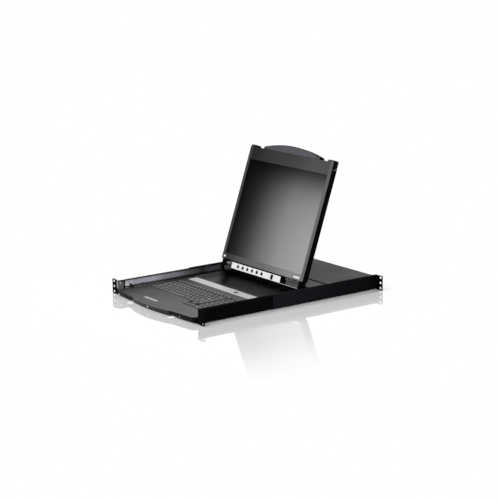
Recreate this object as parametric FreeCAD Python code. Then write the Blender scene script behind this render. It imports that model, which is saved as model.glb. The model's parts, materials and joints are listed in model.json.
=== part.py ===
import FreeCAD, Part
import math
import os

# A one-unit rack console drawer: a keyboard drawer and a folding display, each on its own
# pair of telescopic slides inside a shallow sheet-steel chassis.
# Frame: X to the right seen from the front, Y to the rear, Z up, all in millimetres.
# The origin is on the underside, in the middle, at the back of the front rack ears.
# The display is modelled folded flat and then raised about its hinge.

Vector = FreeCAD.Vector

# chassis
sheet = 1.2
wall_top = 42.4
side_rise = 2.6
side_step_run = 3.0
front_tongue = 2.0
rear_bay_length = 174.6
cover_overhang = 4.6
cover_flange_drop = 7.0

# rack ears, on the 19-inch rack's standard hole pattern
panel_width = 482.6
unit_height = 44.0
ear_thickness = 2.0
ear_hole_edge = 8.74
ear_reach = 28.3
ear_hole_pitch = 15.875
ear_slot_length = 10.0
ear_slot_width = 7.0
ear_leg_length = 18.0
ear_leg_thickness = 1.2
relief_slot_width = 5.0
relief_slot_bottom = 18.0

# rear brackets, channels that slide along the outside of the chassis walls
bracket_sheet = 1.2
bracket_gap = 0.4
bracket_front = 257.0
bracket_flange = 5.8
bracket_reach = 14.0
bracket_out_travel = 199.0
bracket_in_travel = 131.0
bracket_screw_spacing = 25.0
bracket_screw_radius = 1.5
bracket_screw_head_radius = 2.9
bracket_slot_width = 3.4

# telescopic slides
slide_depth = 8.3
slide_sheet = 1.0
slide_web_gap = 0.6
slide_ball_gap = 1.0
slide_lip = 1.7
slide_front = 24.0
slide_rear_gap = 4.04
middle_setback = 6.0
inner_setback = 13.0
keyboard_slide_height = 16.0
keyboard_slide_bottom = 4.2
display_slide_height = 18.6
display_slide_bottom = 22.3
display_band_length = 283.0

# display, measured from its hinge axis: reach is the distance out from the axis,
# depth the distance behind it (negative is towards the viewer)
display_side_gap = 1.0
display_open_angle = 109.0
display_front_overhang = 8.2
display_front_depth = -10.4
display_back_depth = 8.9
display_frame_bottom = 25.5
display_wall = 2.0
bezel_plate = 2.0
bezel_depth = 4.9
screen_side_border = 14.35
screen_bottom_border = 18.5
screen_top_border = 38.0
screen_aspect = 0.8
panel_lap = 6.0
panel_thickness = 10.0
driver_board_width = 150.0
driver_board_height = 90.0
driver_board_thickness = 1.6
chip_height = 2.5

# display top outline
handle_shoulder = 35.5
handle_rise = 25.0
arch_end_rise = 6.5
arch_end_slope = 1.5
lens_side_margin = 15.0
lens_margin = 2.0
lens_thickness = 1.2
shoulder_rise = 2.0
corner_hump_rise = 8.0
corner_hump_width = 31.0
corner_radius = 6.0

# display catches
catch_width = 9.0
catch_length = 23.0
catch_depth = 11.5
catch_proud = 0.9
catch_gap = 0.4
catch_travel = 2.5

# control strip under the screen
strip_left_gap = 4.0
strip_right_gap = 30.5
strip_bottom = 2.7
strip_height = 19.0
strip_plate = 1.0
module_tail = 4.0
menu_button_count = 6
menu_button_inset = 33.0
menu_button_width = 6.4
menu_button_height = 5.0
menu_button_gap = 0.3
menu_button_proud = 0.6
menu_button_depth = 2.6
menu_button_travel = 0.8
power_button_inset = 41.0
power_button_lead = 50.0
power_button_width = 8.0
power_button_height = 11.0

# display hinge
hinge_height = 34.2
knuckle_radius = 8.6
shaft_radius = 4.0
shaft_running_gap = 0.06
knuckle_side_gap = 5.5
display_knuckle_width = 21.0
knuckle_gap = 1.5
left_knuckle_width = 27.5
right_knuckle_width = 43.0
hinge_strap = 2.0
lip_bottom = 1.6
lip_height = 2.0
lip_thickness = 1.2
lip_proud = 0.8
lip_end_gap = 10.0
hinge_cover_set_back = 0.3
hinge_cover_sheet = 1.0
hinge_cover_gap = 1.2
hinge_cover_wrap = 45.0

# display carriage
carriage_setback = 18.2
carriage_depth = 66.0
carriage_bottom = 21.6
carriage_lift = 0.3
seam_gap = 3.0
knuckle_foot_depth = 2.0
knuckle_web = 7.0

# keyboard drawer
tray_sheet = 1.0
tray_bottom = 2.4
tray_length = 440.0
tray_rear_flange = 10.0
tray_front_flange = 11.0
deck_top = 18.5
deck_side_gap = 3.5
deck_wall = 2.0
deck_length = 266.0
well_floor = 13.2
well_plate = 1.5

# keys
key_gap = 1.6
key_taper = 1.7
key_bottom = 15.8
key_top = 20.8
key_edge = 1.2
key_margin_left = 23.0
key_margin_right = 26.0
main_front = 90.0
row_pitch = 18.4
function_row_gap = 5.0
function_row_depth = 14.6
pad_gap = 7.0
main_columns = 15
pad_columns = 4
cursor_rows_below = 2

# widths of the wider keys, in key pitches
tab_wide = 1.5
caps_lock_wide = 1.75
shift_wide = 2.25
modifier_wide = 1.25
space_bar_wide = 5.0

# touchpad
touchpad_x = -45.0
touchpad_front = 18.0
touchpad_width = 66.0
touchpad_length = 46.0
touchpad_plate = 1.0
touchpad_button_length = 10.0
touchpad_button_gap = 0.4
touchpad_button_lead = 4.0
touchpad_button_travel = 0.7
touchpad_button_height = 2.4

# status strip behind the keys
status_rear_margin = 4.0
status_depth = 33.0
status_margin = 22.0
status_plate = 0.8
status_button_x = 48.6
status_button_length = 13.0
status_button_width = 7.0
status_button_travel = 0.8
status_button_height = 3.0

# front bezel of the drawer
bezel_bottom = 2.0
bezel_back = -1.0
bezel_side_gap = 0.5
bezel_wall = 2.0
grip_half_width = 97.0
grip_front = -37.5
grip_corner_front = -24.0
grip_undercut = 12.0
grip_corner_undercut = 6.0
finger_gap_width = 25.0
finger_gap_roof = 10.0
shoulder_inner_front = -21.0
shoulder_outer_front = -12.4
shoulder_undercut = 5.5
shoulder_chamfer = 10.0
window_width = 9.0
window_height = 5.0
window_sink = 0.8
usb_from_gap = 12.0
usb_width = 5.6
usb_height = 12.2
usb_shell = 0.4
usb_tongue = 1.6

# release levers on the drawer slides
lever_pivot_y = 86.0
lever_pivot_z = 13.5
lever_front = 38.0
lever_thickness = 1.2
lever_height = 3.6
lever_pad_length = 9.0
lever_pad_top = 21.0
lever_pin_radius = 1.5
lever_pin_gap = 0.05
lever_side_gap = 0.7
lever_pin_end_gap = 0.3

# rear bay
inlet_margin = 51.8
inlet_z = 21.0
inlet_flange_width = 52.0
inlet_flange_height = 30.0
inlet_flange = 2.0
socket_width = 24.4
socket_height = 16.6
socket_depth = 15.0
socket_offset = -11.0
socket_wall = 2.0
blade_width = 2.0
blade_height = 4.0
blade_spacing = 7.0
blade_length = 8.0
rocker_offset = 16.0
rocker_width = 11.0
rocker_height = 19.0
rocker_depth = 7.0
rocker_tilt = 8.0
rocker_gap = 0.4
rocker_pin_radius = 1.4
port_count = 3
port_first_x = -30.0
port_pitch = 42.0
port_z = 15.5
port_shell_width = 17.0
port_shell_height = 8.4
port_shell_reach = 6.0
port_flange_width = 31.0
port_flange_height = 12.6
port_flange = 1.2
port_body_length = 12.0
jack_radius = 2.4
jack_reach = 5.0
jack_spacing = 25.0
board_thickness = 1.6
board_height = 8.0
control_board_lead = 30.0
control_board_margin = 36.8
control_board_length = 105.0
standoff_radius = 3.0
standoff_inset = 6.0
supply_margin = 15.8
supply_board_gap = 20.0
supply_length = 95.0
supply_gap = 22.0
component_height = 22.0
vent_count = 9
vent_pitch = 6.0
vent_width = 3.0
vent_height = 16.0
vent_first_x = 120.0

# screws
cover_screw_radius = 1.5
cover_screw_head = 2.6
cover_screw_head_height = 0.6
cover_screw_length = 4.5
cover_screw_inset = 12.0
cover_screw_side = 2.8
ground_screw_radius = 1.5
ground_screw_head = 2.8
ground_screw_head_height = 1.3
screw_sides = 8
sight_hole_y = 6.0
sight_hole_z = 37.0
sight_hole_radius = 1.6

# worked out from the sizes above
ear_hole_span = panel_width - 2 * ear_hole_edge
pan_width = panel_width - 2 * ear_reach
wall_out = pan_width / 2
wall_in = wall_out - sheet
ear_leg_in = wall_in - ear_leg_thickness
slide_face = wall_in - slide_depth
display_half = slide_face - display_side_gap
handle_half_width = display_half - corner_hump_width - handle_shoulder
lens_half_width = handle_half_width - lens_side_margin
screen_half = display_half - screen_side_border
screen_height = 2 * screen_half * screen_aspect
screen_bottom = display_frame_bottom + screen_bottom_border
screen_top = screen_bottom + screen_height
display_top = screen_top + screen_top_border
hinge_y = display_top - display_front_overhang
bezel_back_depth = display_front_depth + bezel_depth
panel_face_depth = display_front_depth + bezel_plate
carriage_front = hinge_y + carriage_setback
carriage_rear = carriage_front + carriage_depth
cover_front = carriage_rear + seam_gap
pan_length = cover_front + rear_bay_length
top_flange_edge = slide_face + carriage_lift
cover_half = top_flange_edge + cover_overhang
step_inner = slide_face + 0.5 * sheet
bracket_web_in = wall_out + bracket_gap
bracket_foot_edge = step_inner + side_step_run + bracket_gap
bracket_web_out = bracket_web_in + bracket_sheet
bracket_rear = pan_length + bracket_reach
slide_rear = carriage_rear - slide_rear_gap
deck_half = slide_face - tray_sheet - deck_side_gap
tray_top = keyboard_slide_bottom + keyboard_slide_height - 2 * slide_ball_gap - 2 * slide_sheet
tray_floor_top = tray_bottom + tray_sheet
cover_top = wall_top + sheet
key_field = 2 * deck_half - key_margin_left - key_margin_right - pad_gap
key_pitch = key_field / (main_columns + pad_columns)
main_left = key_margin_left - deck_half
pad_left = main_left + main_columns * key_pitch + pad_gap
main_rear = main_front + 5 * row_pitch + function_row_gap + function_row_depth
pad_front = main_front - cursor_rows_below * row_pitch
pad_right = pad_left + pad_columns * key_pitch
status_front = deck_length - status_rear_margin - status_depth
status_half_width = deck_half - status_margin
bezel_half_width = slide_face - bezel_side_gap
usb_x = grip_half_width + finger_gap_width + usb_from_gap
knuckle_outer = display_half - knuckle_side_gap
knuckle_inner = knuckle_outer - display_knuckle_width
bracket_barrel_end = knuckle_inner - knuckle_gap
strip_left = left_knuckle_width + strip_left_gap - bracket_barrel_end
strip_right = bracket_barrel_end - right_knuckle_width - strip_right_gap
menu_button_first = strip_left + menu_button_inset
power_button_x = strip_right - power_button_inset
menu_button_pitch = (power_button_x - power_button_lead - menu_button_first) / (menu_button_count - 1)
inlet_x = inlet_margin - wall_in
control_board_left = port_first_x - control_board_lead
control_board_right = wall_in - control_board_margin
supply_left = supply_margin - wall_in
supply_right = control_board_left - supply_board_gap


def box(x0, x1, y0, y1, z0, z1):
    return Part.makeBox(x1 - x0, y1 - y0, z1 - z0, Vector(x0, y0, z0))


def prism_y(points, y0, y1):
    """A cross-section in X and Z, drawn out along Y."""
    loop = [Vector(x, y0, z) for x, z in points]
    face = Part.Face(Part.makePolygon(loop + loop[:1]))
    return face.extrude(Vector(0, y1 - y0, 0))


def prism_x(points, x0, x1):
    """A cross-section in Y and Z, drawn out along X."""
    loop = [Vector(x0, y, z) for y, z in points]
    face = Part.Face(Part.makePolygon(loop + loop[:1]))
    return face.extrude(Vector(x1 - x0, 0, 0))


def rod_x(x0, x1, y, z, radius):
    return Part.makeCylinder(radius, x1 - x0, Vector(x0, y, z), Vector(1, 0, 0))


def rod_y(x, y0, y1, z, radius):
    return Part.makeCylinder(radius, y1 - y0, Vector(x, y0, z), Vector(0, 1, 0))


def rod_z(x, y, z0, z1, radius):
    return Part.makeCylinder(radius, z1 - z0, Vector(x, y, z0), Vector(0, 0, 1))


def faceted_rod(base, along, length, radius, sides):
    """A rod with flats, for nuts, standoffs and the smallest screws."""
    turn = 2 * math.pi / sides
    angles = [turn * step for step in range(sides)]
    corners = [Vector(radius * math.cos(angle), radius * math.sin(angle), 0) for angle in angles]
    rod = Part.Face(Part.makePolygon(corners + corners[:1])).extrude(Vector(0, 0, length))
    rod.Placement = FreeCAD.Placement(base, FreeCAD.Rotation(Vector(0, 0, 1), along))
    return rod


def slot_along_x(x, z, length, width, y0, y1):
    """A round-ended slot that runs along X and goes through along Y."""
    half = (length - width) / 2
    bar = box(x - half, x + half, y0, y1, z - width / 2, z + width / 2)
    return bar.fuse([rod_y(x - half, y0, y1, z, width / 2), rod_y(x + half, y0, y1, z, width / 2)])


def slot_along_y(x, y0, y1, width, z0, z1):
    """A round-ended slot that runs along Y and goes through along Z."""
    half = width / 2
    bar = box(x - half, x + half, y0 + half, y1 - half, z0, z1)
    return bar.fuse([rod_z(x, y0 + half, z0, z1, half), rod_z(x, y1 - half, z0, z1, half)])


def flat(x0, x1, reach0, reach1, depth0, depth1):
    """A block of the folded display, by its reach from the hinge and its depth."""
    return box(x0, x1, hinge_y - reach1, hinge_y - reach0, hinge_height + depth0, hinge_height + depth1)


def raised(shape):
    """Turn a piece of the folded display up to its working angle."""
    turned = shape.copy()
    turned.rotate(Vector(0, hinge_y, hinge_height), Vector(1, 0, 0), -display_open_angle)
    return turned


def mirrored(shape):
    return shape.mirror(Vector(0, 0, 0), Vector(1, 0, 0))


def both_sides(shape):
    return Part.makeCompound([shape, mirrored(shape)])


def group(shapes):
    return Part.makeCompound(shapes)


def save(shape, node):
    shape.exportStep("parts/" + node + ".step")


# ------------------------------------------------------------------ chassis

def cover_screw_places():
    x = cover_half - cover_screw_side
    near = cover_front + cover_screw_inset
    far = pan_length - cover_screw_inset
    return [(side * x, y) for side in (-1, 1) for y in (near, far)]


def cover_screw(x, y):
    """A flat screw whose head sits in a counterbore of the cover."""
    seat = cover_top - cover_screw_head_height
    head = faceted_rod(Vector(x, y, seat), Vector(0, 0, 1), cover_screw_head_height,
                       cover_screw_head, screw_sides)
    shank = faceted_rod(Vector(x, y, wall_top - cover_screw_length), Vector(0, 0, 1),
                        seat - wall_top + cover_screw_length, cover_screw_radius, screw_sides)
    return head.fuse(shank)


def bracket_screw_places():
    x = (bracket_foot_edge + bracket_web_in) / 2
    first = bracket_rear - bracket_in_travel - 1.5 * bracket_screw_spacing
    return [(x, first), (x, first - bracket_screw_spacing)]


def bracket_screw(x, y):
    """A screw that clamps the bracket's foot to a nut welded in the pan's step."""
    head_top = side_rise - 1.5 * bracket_gap - bracket_sheet
    head = faceted_rod(Vector(x, y, 0), Vector(0, 0, 1), head_top, bracket_screw_head_radius, screw_sides)
    shank = faceted_rod(Vector(x, y, head_top), Vector(0, 0, 1), side_rise + sheet - head_top,
                        bracket_screw_radius, screw_sides)
    return head.fuse(shank)


def ground_screw():
    x = port_first_x - port_pitch
    head = faceted_rod(Vector(x, pan_length, port_z), Vector(0, 1, 0), ground_screw_head_height,
                       ground_screw_head, screw_sides)
    shank = faceted_rod(Vector(x, pan_length - 2 * sheet, port_z), Vector(0, 1, 0), 2 * sheet,
                        ground_screw_radius, screw_sides)
    return head.fuse(shank)


def base_pan():
    lean = 0.4 * sheet
    half = [
        (step_inner, 0.0),
        (step_inner + side_step_run, side_rise),
        (wall_out, side_rise),
        (wall_out, wall_top),
        (top_flange_edge, wall_top),
        (top_flange_edge, wall_top - sheet),
        (wall_in, wall_top - sheet),
        (wall_in, side_rise + sheet),
        (step_inner + side_step_run - lean, side_rise + sheet),
        (step_inner - lean, sheet),
    ]
    other = [(-x, z) for x, z in reversed(half)]
    pan = prism_y(half + other, -front_tongue, pan_length)
    corner = box(step_inner - lean - sheet, wall_out + sheet, -front_tongue, 0.0, -sheet, unit_height)
    cuts = [corner, rod_x(wall_in - sheet, wall_out + sheet, sight_hole_y, sight_hole_z, sight_hole_radius)]
    cuts = cuts + [bracket_screw(x, y) for x, y in bracket_screw_places()]
    cuts = cuts + [mirrored(cut) for cut in cuts]
    cuts = cuts + [cover_screw(x, y) for x, y in cover_screw_places()]
    return pan.cut(cuts)


def rear_cover():
    top = box(-cover_half, cover_half, cover_front, pan_length + sheet, wall_top, cover_top)
    drop = box(-cover_half, cover_half, pan_length, pan_length + sheet,
               cover_top - cover_flange_drop, cover_top)
    return top.fuse(drop).cut([cover_screw(x, y) for x, y in cover_screw_places()]).removeSplitter()


def inlet_outline():
    x0 = inlet_x - inlet_flange_width / 2 + socket_wall
    x1 = inlet_x + inlet_flange_width / 2 - socket_wall
    z0 = inlet_z - inlet_flange_height / 2 + socket_wall
    z1 = inlet_z + inlet_flange_height / 2 - socket_wall
    return x0, x1, z0, z1


def port_x(index):
    return port_first_x + index * port_pitch


def jack_screws(x, start):
    """The two hexagonal screws beside a console port."""
    length = pan_length + jack_reach - start
    places = [Vector(x + side * jack_spacing / 2, start, port_z) for side in (-1, 1)]
    return [faceted_rod(place, Vector(0, 1, 0), length, jack_radius, 6) for place in places]


def rear_panel():
    low = side_rise + sheet
    foot = step_inner - sheet
    high = wall_top - sheet
    half = [(foot, sheet), (foot, low), (wall_in, low), (wall_in, high)]
    other = [(-x, z) for x, z in reversed(half)]
    panel = prism_y(half + other, pan_length - sheet, pan_length)
    x0, x1, z0, z1 = inlet_outline()
    cuts = [box(x0, x1, pan_length - 2 * sheet, pan_length + sheet, z0, z1)]
    for index in range(port_count):
        x = port_x(index)
        cuts.append(box(x - port_shell_width / 2, x + port_shell_width / 2, pan_length - 2 * sheet,
                        pan_length + sheet, port_z - port_shell_height / 2, port_z + port_shell_height / 2))
        cuts = cuts + jack_screws(x, pan_length - 2 * sheet)
    cuts.append(ground_screw())
    for index in range(vent_count):
        x = vent_first_x + index * vent_pitch
        cuts.append(box(x, x + vent_width, pan_length - 2 * sheet, pan_length + sheet,
                        inlet_z - vent_height / 2, inlet_z + vent_height / 2))
    return panel.cut(cuts)


def ear_slots(y0, y1):
    middle = unit_height / 2
    x = ear_hole_span / 2
    return [slot_along_x(x, middle + step * ear_hole_pitch, ear_slot_length, ear_slot_width, y0, y1)
            for step in (-1, 0, 1)]


def front_ear():
    edge = panel_width / 2
    plate = box(ear_leg_in, edge, -ear_thickness, 0.0, 0.0, unit_height)
    for z in (0.0, unit_height):
        place = Vector(edge, -ear_thickness / 2, z)
        corner = [e for e in plate.Edges if e.CenterOfMass.distanceToPoint(place) < sheet]
        plate = plate.makeFillet(ear_thickness, corner)
    leg = box(ear_leg_in, wall_in, 0.0, ear_leg_length, side_rise + 2 * sheet, wall_top - 2 * sheet)
    relief = box(wall_out, wall_out + relief_slot_width, -2 * ear_thickness, ear_thickness,
                 relief_slot_bottom, unit_height + sheet)
    cuts = ear_slots(-2 * ear_thickness, ear_thickness) + [relief]
    cuts.append(rod_x(ear_leg_in - sheet, wall_in + sheet, sight_hole_y, sight_hole_z, sight_hole_radius))
    return plate.fuse(leg).cut(cuts).removeSplitter()


def rear_bracket():
    low = side_rise - bracket_gap - bracket_sheet
    high = wall_top + bracket_gap + bracket_sheet
    flange_top = bracket_web_out - bracket_flange
    profile = [
        (bracket_foot_edge, low),
        (bracket_web_out, low),
        (bracket_web_out, high),
        (flange_top, high),
        (flange_top, high - bracket_sheet),
        (bracket_web_in, high - bracket_sheet),
        (bracket_web_in, low + bracket_sheet),
        (bracket_foot_edge, low + bracket_sheet),
    ]
    channel = prism_y(profile, bracket_front, bracket_rear)
    ear = box(bracket_web_in, panel_width / 2, bracket_rear - ear_thickness, bracket_rear, 0.0, unit_height)
    screws = bracket_screw_places()
    slot_x = screws[0][0]
    slot_front = screws[1][1] - bracket_out_travel - bracket_slot_width
    slot_rear = screws[0][1] + bracket_in_travel + bracket_slot_width
    cuts = ear_slots(bracket_rear - 2 * ear_thickness, bracket_rear + ear_thickness)
    cuts.append(slot_along_y(slot_x, slot_front, slot_rear, bracket_slot_width, low - sheet,
                             low + bracket_sheet + 0.5 * bracket_gap))
    return channel.fuse(ear).cut(cuts).removeSplitter()


# ------------------------------------------------------------------ telescopic slides

def channel(x_back, x_lip, z0, z1, thickness, y0, y1):
    """A channel with its back at x_back and its open side at x_lip."""
    step = thickness if x_back > x_lip else -thickness
    profile = [
        (x_back, z0),
        (x_back, z1),
        (x_lip, z1),
        (x_lip, z1 - thickness),
        (x_back - step, z1 - thickness),
        (x_back - step, z0 + thickness),
        (x_lip, z0 + thickness),
        (x_lip, z0),
    ]
    return prism_y(profile, y0, y1)


def outer_slide(bottom, height):
    lip = slide_face + slide_sheet + slide_lip
    return channel(wall_in, lip, bottom, bottom + height, slide_sheet, slide_front, slide_rear)


def middle_slide(bottom, height):
    back = wall_in - slide_sheet - slide_web_gap
    inset = slide_sheet + slide_ball_gap
    lip = slide_face + slide_sheet + 0.5 * slide_lip
    return channel(back, lip, bottom + inset, bottom + height - inset, slide_sheet,
                   slide_front + middle_setback, slide_rear)


def inner_slide(bottom, height):
    back = slide_face
    inset = 2 * (slide_sheet + slide_ball_gap)
    lip = wall_in - 2 * slide_sheet - 2 * slide_web_gap
    return channel(back, lip, bottom + inset, bottom + height - inset, slide_sheet,
                   slide_front + inner_setback, slide_rear)


def display_inner_slide():
    rail = inner_slide(display_slide_bottom, display_slide_height)
    front = slide_front + inner_setback
    band = box(slide_face, slide_face + slide_sheet, front, front + display_band_length,
               display_slide_bottom, display_slide_bottom + display_slide_height)
    return rail.fuse(band).removeSplitter()


# ------------------------------------------------------------------ keyboard drawer

def keyboard_tray():
    side = slide_face
    profile = [
        (-side, tray_bottom),
        (side, tray_bottom),
        (side, tray_top),
        (side - tray_sheet, tray_top),
        (side - tray_sheet, tray_floor_top),
        (-side + tray_sheet, tray_floor_top),
        (-side + tray_sheet, tray_top),
        (-side, tray_top),
    ]
    tray = prism_y(profile, bezel_back, tray_length)
    front = box(-side, side, bezel_back, bezel_back + tray_sheet,
                tray_bottom, tray_bottom + tray_front_flange)
    rear = box(-side, side, tray_length - tray_sheet, tray_length,
               tray_bottom, tray_bottom + tray_rear_flange)
    pin = rod_x(side - 2 * tray_sheet, side + tray_sheet, lever_pivot_y, lever_pivot_z,
                lever_pin_radius + lever_pin_gap)
    return tray.fuse([front, rear]).cut([pin, mirrored(pin)]).removeSplitter()


def key_wells():
    z0 = well_floor
    z1 = deck_top + sheet
    rim = key_gap / 2
    main = box(main_left - rim, pad_left - key_edge, main_front - rim, main_rear + rim, z0, z1)
    pad = box(pad_left - key_edge - sheet, pad_right + rim, pad_front - rim, main_rear + rim, z0, z1)
    cursor_left = pad_left - 3 * key_pitch - key_edge
    cursor = box(cursor_left - rim, pad_left, pad_front - rim, main_front + rim, z0, z1)
    return [main, pad, cursor]


def touchpad_seat():
    half = touchpad_width / 2
    return box(touchpad_x - half, touchpad_x + half, touchpad_front, touchpad_front + touchpad_length,
               deck_top - touchpad_plate, deck_top + sheet)


def touchpad_button_bay():
    half = touchpad_width / 2
    front = touchpad_front - touchpad_button_length - touchpad_button_lead
    floor = deck_top - touchpad_button_height - touchpad_button_travel - touchpad_button_gap
    return box(touchpad_x - half - touchpad_button_gap, touchpad_x + half + touchpad_button_gap,
               front - touchpad_button_gap, front + touchpad_button_length + touchpad_button_gap,
               floor, deck_top + sheet)


def oval_z(x, y, length, width, z0, z1):
    half = (length - width) / 2
    bar = box(x - half, x + half, y - width / 2, y + width / 2, z0, z1)
    return bar.fuse([rod_z(x - half, y, z0, z1, width / 2), rod_z(x + half, y, z0, z1, width / 2)])


def status_button_bay():
    floor = deck_top + status_plate - status_button_height - status_button_travel
    length = status_button_length + 2 * menu_button_gap
    width = status_button_width + 2 * menu_button_gap
    return oval_z(status_button_x, status_front + status_depth / 2, length, width,
                  floor, deck_top + 2 * status_plate)


def keyboard_deck():
    block = box(-deck_half, deck_half, bezel_back + tray_sheet, deck_length, tray_floor_top, deck_top)
    front_edges = [e for e in block.Edges if abs(e.CenterOfMass.z - deck_top) < sheet
                   and abs(abs(e.CenterOfMass.x) - deck_half) < sheet]
    block = block.makeChamfer(sheet, front_edges)
    hollow = box(-deck_half + deck_wall, deck_half - deck_wall, bezel_back + tray_sheet + deck_wall,
                 deck_length - deck_wall, tray_floor_top - sheet, well_floor - well_plate)
    cuts = [hollow, touchpad_seat(), touchpad_button_bay(), status_button_bay()] + key_wells()
    return block.cut(cuts).removeSplitter()


def status_strip():
    plate = box(-status_half_width, status_half_width, status_front, status_front + status_depth,
                deck_top, deck_top + status_plate)
    return plate.cut(status_button_bay())


def status_button():
    z1 = deck_top + status_plate + menu_button_proud
    z0 = deck_top + status_plate - status_button_height + menu_button_gap
    y = status_front + status_depth / 2
    return oval_z(status_button_x, y, status_button_length, status_button_width, z0, z1)


def touchpad():
    half = touchpad_width / 2
    return box(touchpad_x - half, touchpad_x + half, touchpad_front, touchpad_front + touchpad_length,
               deck_top - touchpad_plate, deck_top - 0.3 * touchpad_plate)


def touchpad_button(side):
    front = touchpad_front - touchpad_button_length - touchpad_button_lead
    inner = touchpad_x + side * touchpad_button_gap / 2
    outer = touchpad_x + side * touchpad_width / 2
    cap = box(min(inner, outer), max(inner, outer), front, front + touchpad_button_length,
              deck_top - touchpad_button_height, deck_top + touchpad_button_gap)
    edges = [e for e in cap.Edges if abs(e.CenterOfMass.z - deck_top - touchpad_button_gap) < 0.01]
    return cap.makeFillet(touchpad_button_gap, edges)


def keycap(x, y, width, depth):
    """A tapered cap on a cell whose front left corner is at x, y."""
    margin = key_gap / 2
    x0, x1 = x + margin, x + width - margin
    y0, y1 = y + margin, y + depth - margin
    cap = Part.makeWedge(x0, key_bottom, -y1, -y1 + key_taper, x0 + key_taper,
                         x1, key_top, -y0, -y0 - key_taper, x1 - key_taper)
    cap.rotate(Vector(0, 0, 0), Vector(1, 0, 0), 90)
    return cap


def key_row(left, front, widths, depth=row_pitch):
    """Caps side by side, with widths in key pitches; a negative width is a gap."""
    caps = []
    x = left
    for width in widths:
        if width > 0:
            caps.append(keycap(x, front, width * key_pitch, depth))
        x = x + abs(width) * key_pitch
    return caps


def main_row(index):
    return main_front + index * row_pitch


def function_keys():
    front = main_row(5) + function_row_gap
    fifteen = [1.0] * main_columns
    return group(key_row(main_left, front, fifteen, function_row_depth))


def main_line(index, widths):
    """A row of the main block; its last key takes what is left of the row."""
    rest = main_columns - sum(abs(width) for width in widths)
    return key_row(main_left, main_row(index), widths + [rest])


def main_keys():
    caps = main_line(4, [1.0] * 13)
    caps = caps + main_line(3, [tab_wide] + [1.0] * 12)
    caps = caps + main_line(2, [caps_lock_wide] + [1.0] * 11)
    caps = caps + main_line(1, [shift_wide] + [1.0] * 10)
    left_end = [modifier_wide, 1.0, modifier_wide, modifier_wide]
    right_end = [modifier_wide] * 3
    return group(caps + main_line(0, left_end + [-space_bar_wide] + right_end))


def space_bar():
    before = 1.0 + 3 * modifier_wide
    return keycap(main_left + before * key_pitch, main_row(0), space_bar_wide * key_pitch, row_pitch)


def cursor_keys():
    """The arrow keys, and the rows of keys behind the number pad."""
    left = pad_left - 3 * key_pitch - key_edge
    caps = key_row(left, main_row(-2), [1.0, 1.0, 1.0])
    caps = caps + key_row(left, main_row(-1), [-1.0, 1.0])
    for index in (3, 4):
        caps = caps + key_row(pad_left, main_row(index), [1.0] * pad_columns)
    caps = caps + key_row(pad_left, main_row(5) + function_row_gap, [1.0] * pad_columns, function_row_depth)
    return group(caps)


def number_pad():
    """Seventeen keys, with a tall plus and enter in the last column and a wide zero."""
    last_x = pad_left + 3 * key_pitch
    caps = key_row(pad_left, main_row(2), [1.0] * pad_columns)
    for index in (1, 0, -1):
        caps = caps + key_row(pad_left, main_row(index), [1.0] * 3)
    caps = caps + key_row(pad_left, main_row(-2), [2.0, 1.0])
    for index in (0, -2):
        caps.append(keycap(last_x, main_row(index), key_pitch, 2 * row_pitch))
    return group(caps)


def arc_outline(half, edge_y, crown_y, back_y, z):
    """A closed outline with a bowed front between two straight sides."""
    left = Vector(-half, edge_y, z)
    right = Vector(half, edge_y, z)
    bow = Part.Arc(left, Vector(0, crown_y, z), right).toShape()
    sides = Part.makePolygon([right, Vector(half, back_y, z), Vector(-half, back_y, z), left])
    return Part.Wire([bow] + sides.Edges)


def undercut_share(z):
    """How much of its undercut the front bezel has at height z."""
    return (deck_top - z) / (deck_top - bezel_bottom)


def grip_outline(wall, z):
    share = undercut_share(z)
    return arc_outline(grip_half_width, grip_corner_front + share * grip_corner_undercut + wall,
                       grip_front + share * grip_undercut + wall, bezel_back, z)


def shoulder_outline(wall, z):
    set_back = undercut_share(z) * shoulder_undercut + wall
    side = bezel_half_width - wall
    points = [
        (grip_half_width, shoulder_inner_front + set_back),
        (bezel_half_width - shoulder_chamfer, shoulder_outer_front + set_back),
        (side, min(shoulder_outer_front + shoulder_chamfer + set_back, bezel_back - sheet)),
        (side, bezel_back),
        (grip_half_width, bezel_back),
    ]
    loop = [Vector(x, y, z) for x, y in points]
    return Part.makePolygon(loop + loop[:1])


def bezel_body(wall, z0, z1):
    """The grip with a shoulder on each side, or its hollow when given a wall."""
    grip = Part.makeLoft([grip_outline(wall, z0), grip_outline(wall, z1)], True, True)
    shoulder = Part.makeLoft([shoulder_outline(wall, z0), shoulder_outline(wall, z1)], True, True)
    return grip.fuse([shoulder, mirrored(shoulder)])


def usb_block(front, shell):
    """The front data port from its mouth back, less a shell all round."""
    middle = (deck_top + bezel_bottom) / 2
    half = usb_width / 2 - shell
    tall = usb_height / 2 - shell
    back = bezel_back - usb_tongue - shell
    return box(usb_x - half, usb_x + half, front, back, middle - tall, middle + tall)


def usb_mouth():
    run = bezel_half_width - shoulder_chamfer - grip_half_width
    along = (usb_x - grip_half_width) / run
    return shoulder_inner_front + along * (shoulder_outer_front - shoulder_inner_front) + shoulder_undercut


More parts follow.
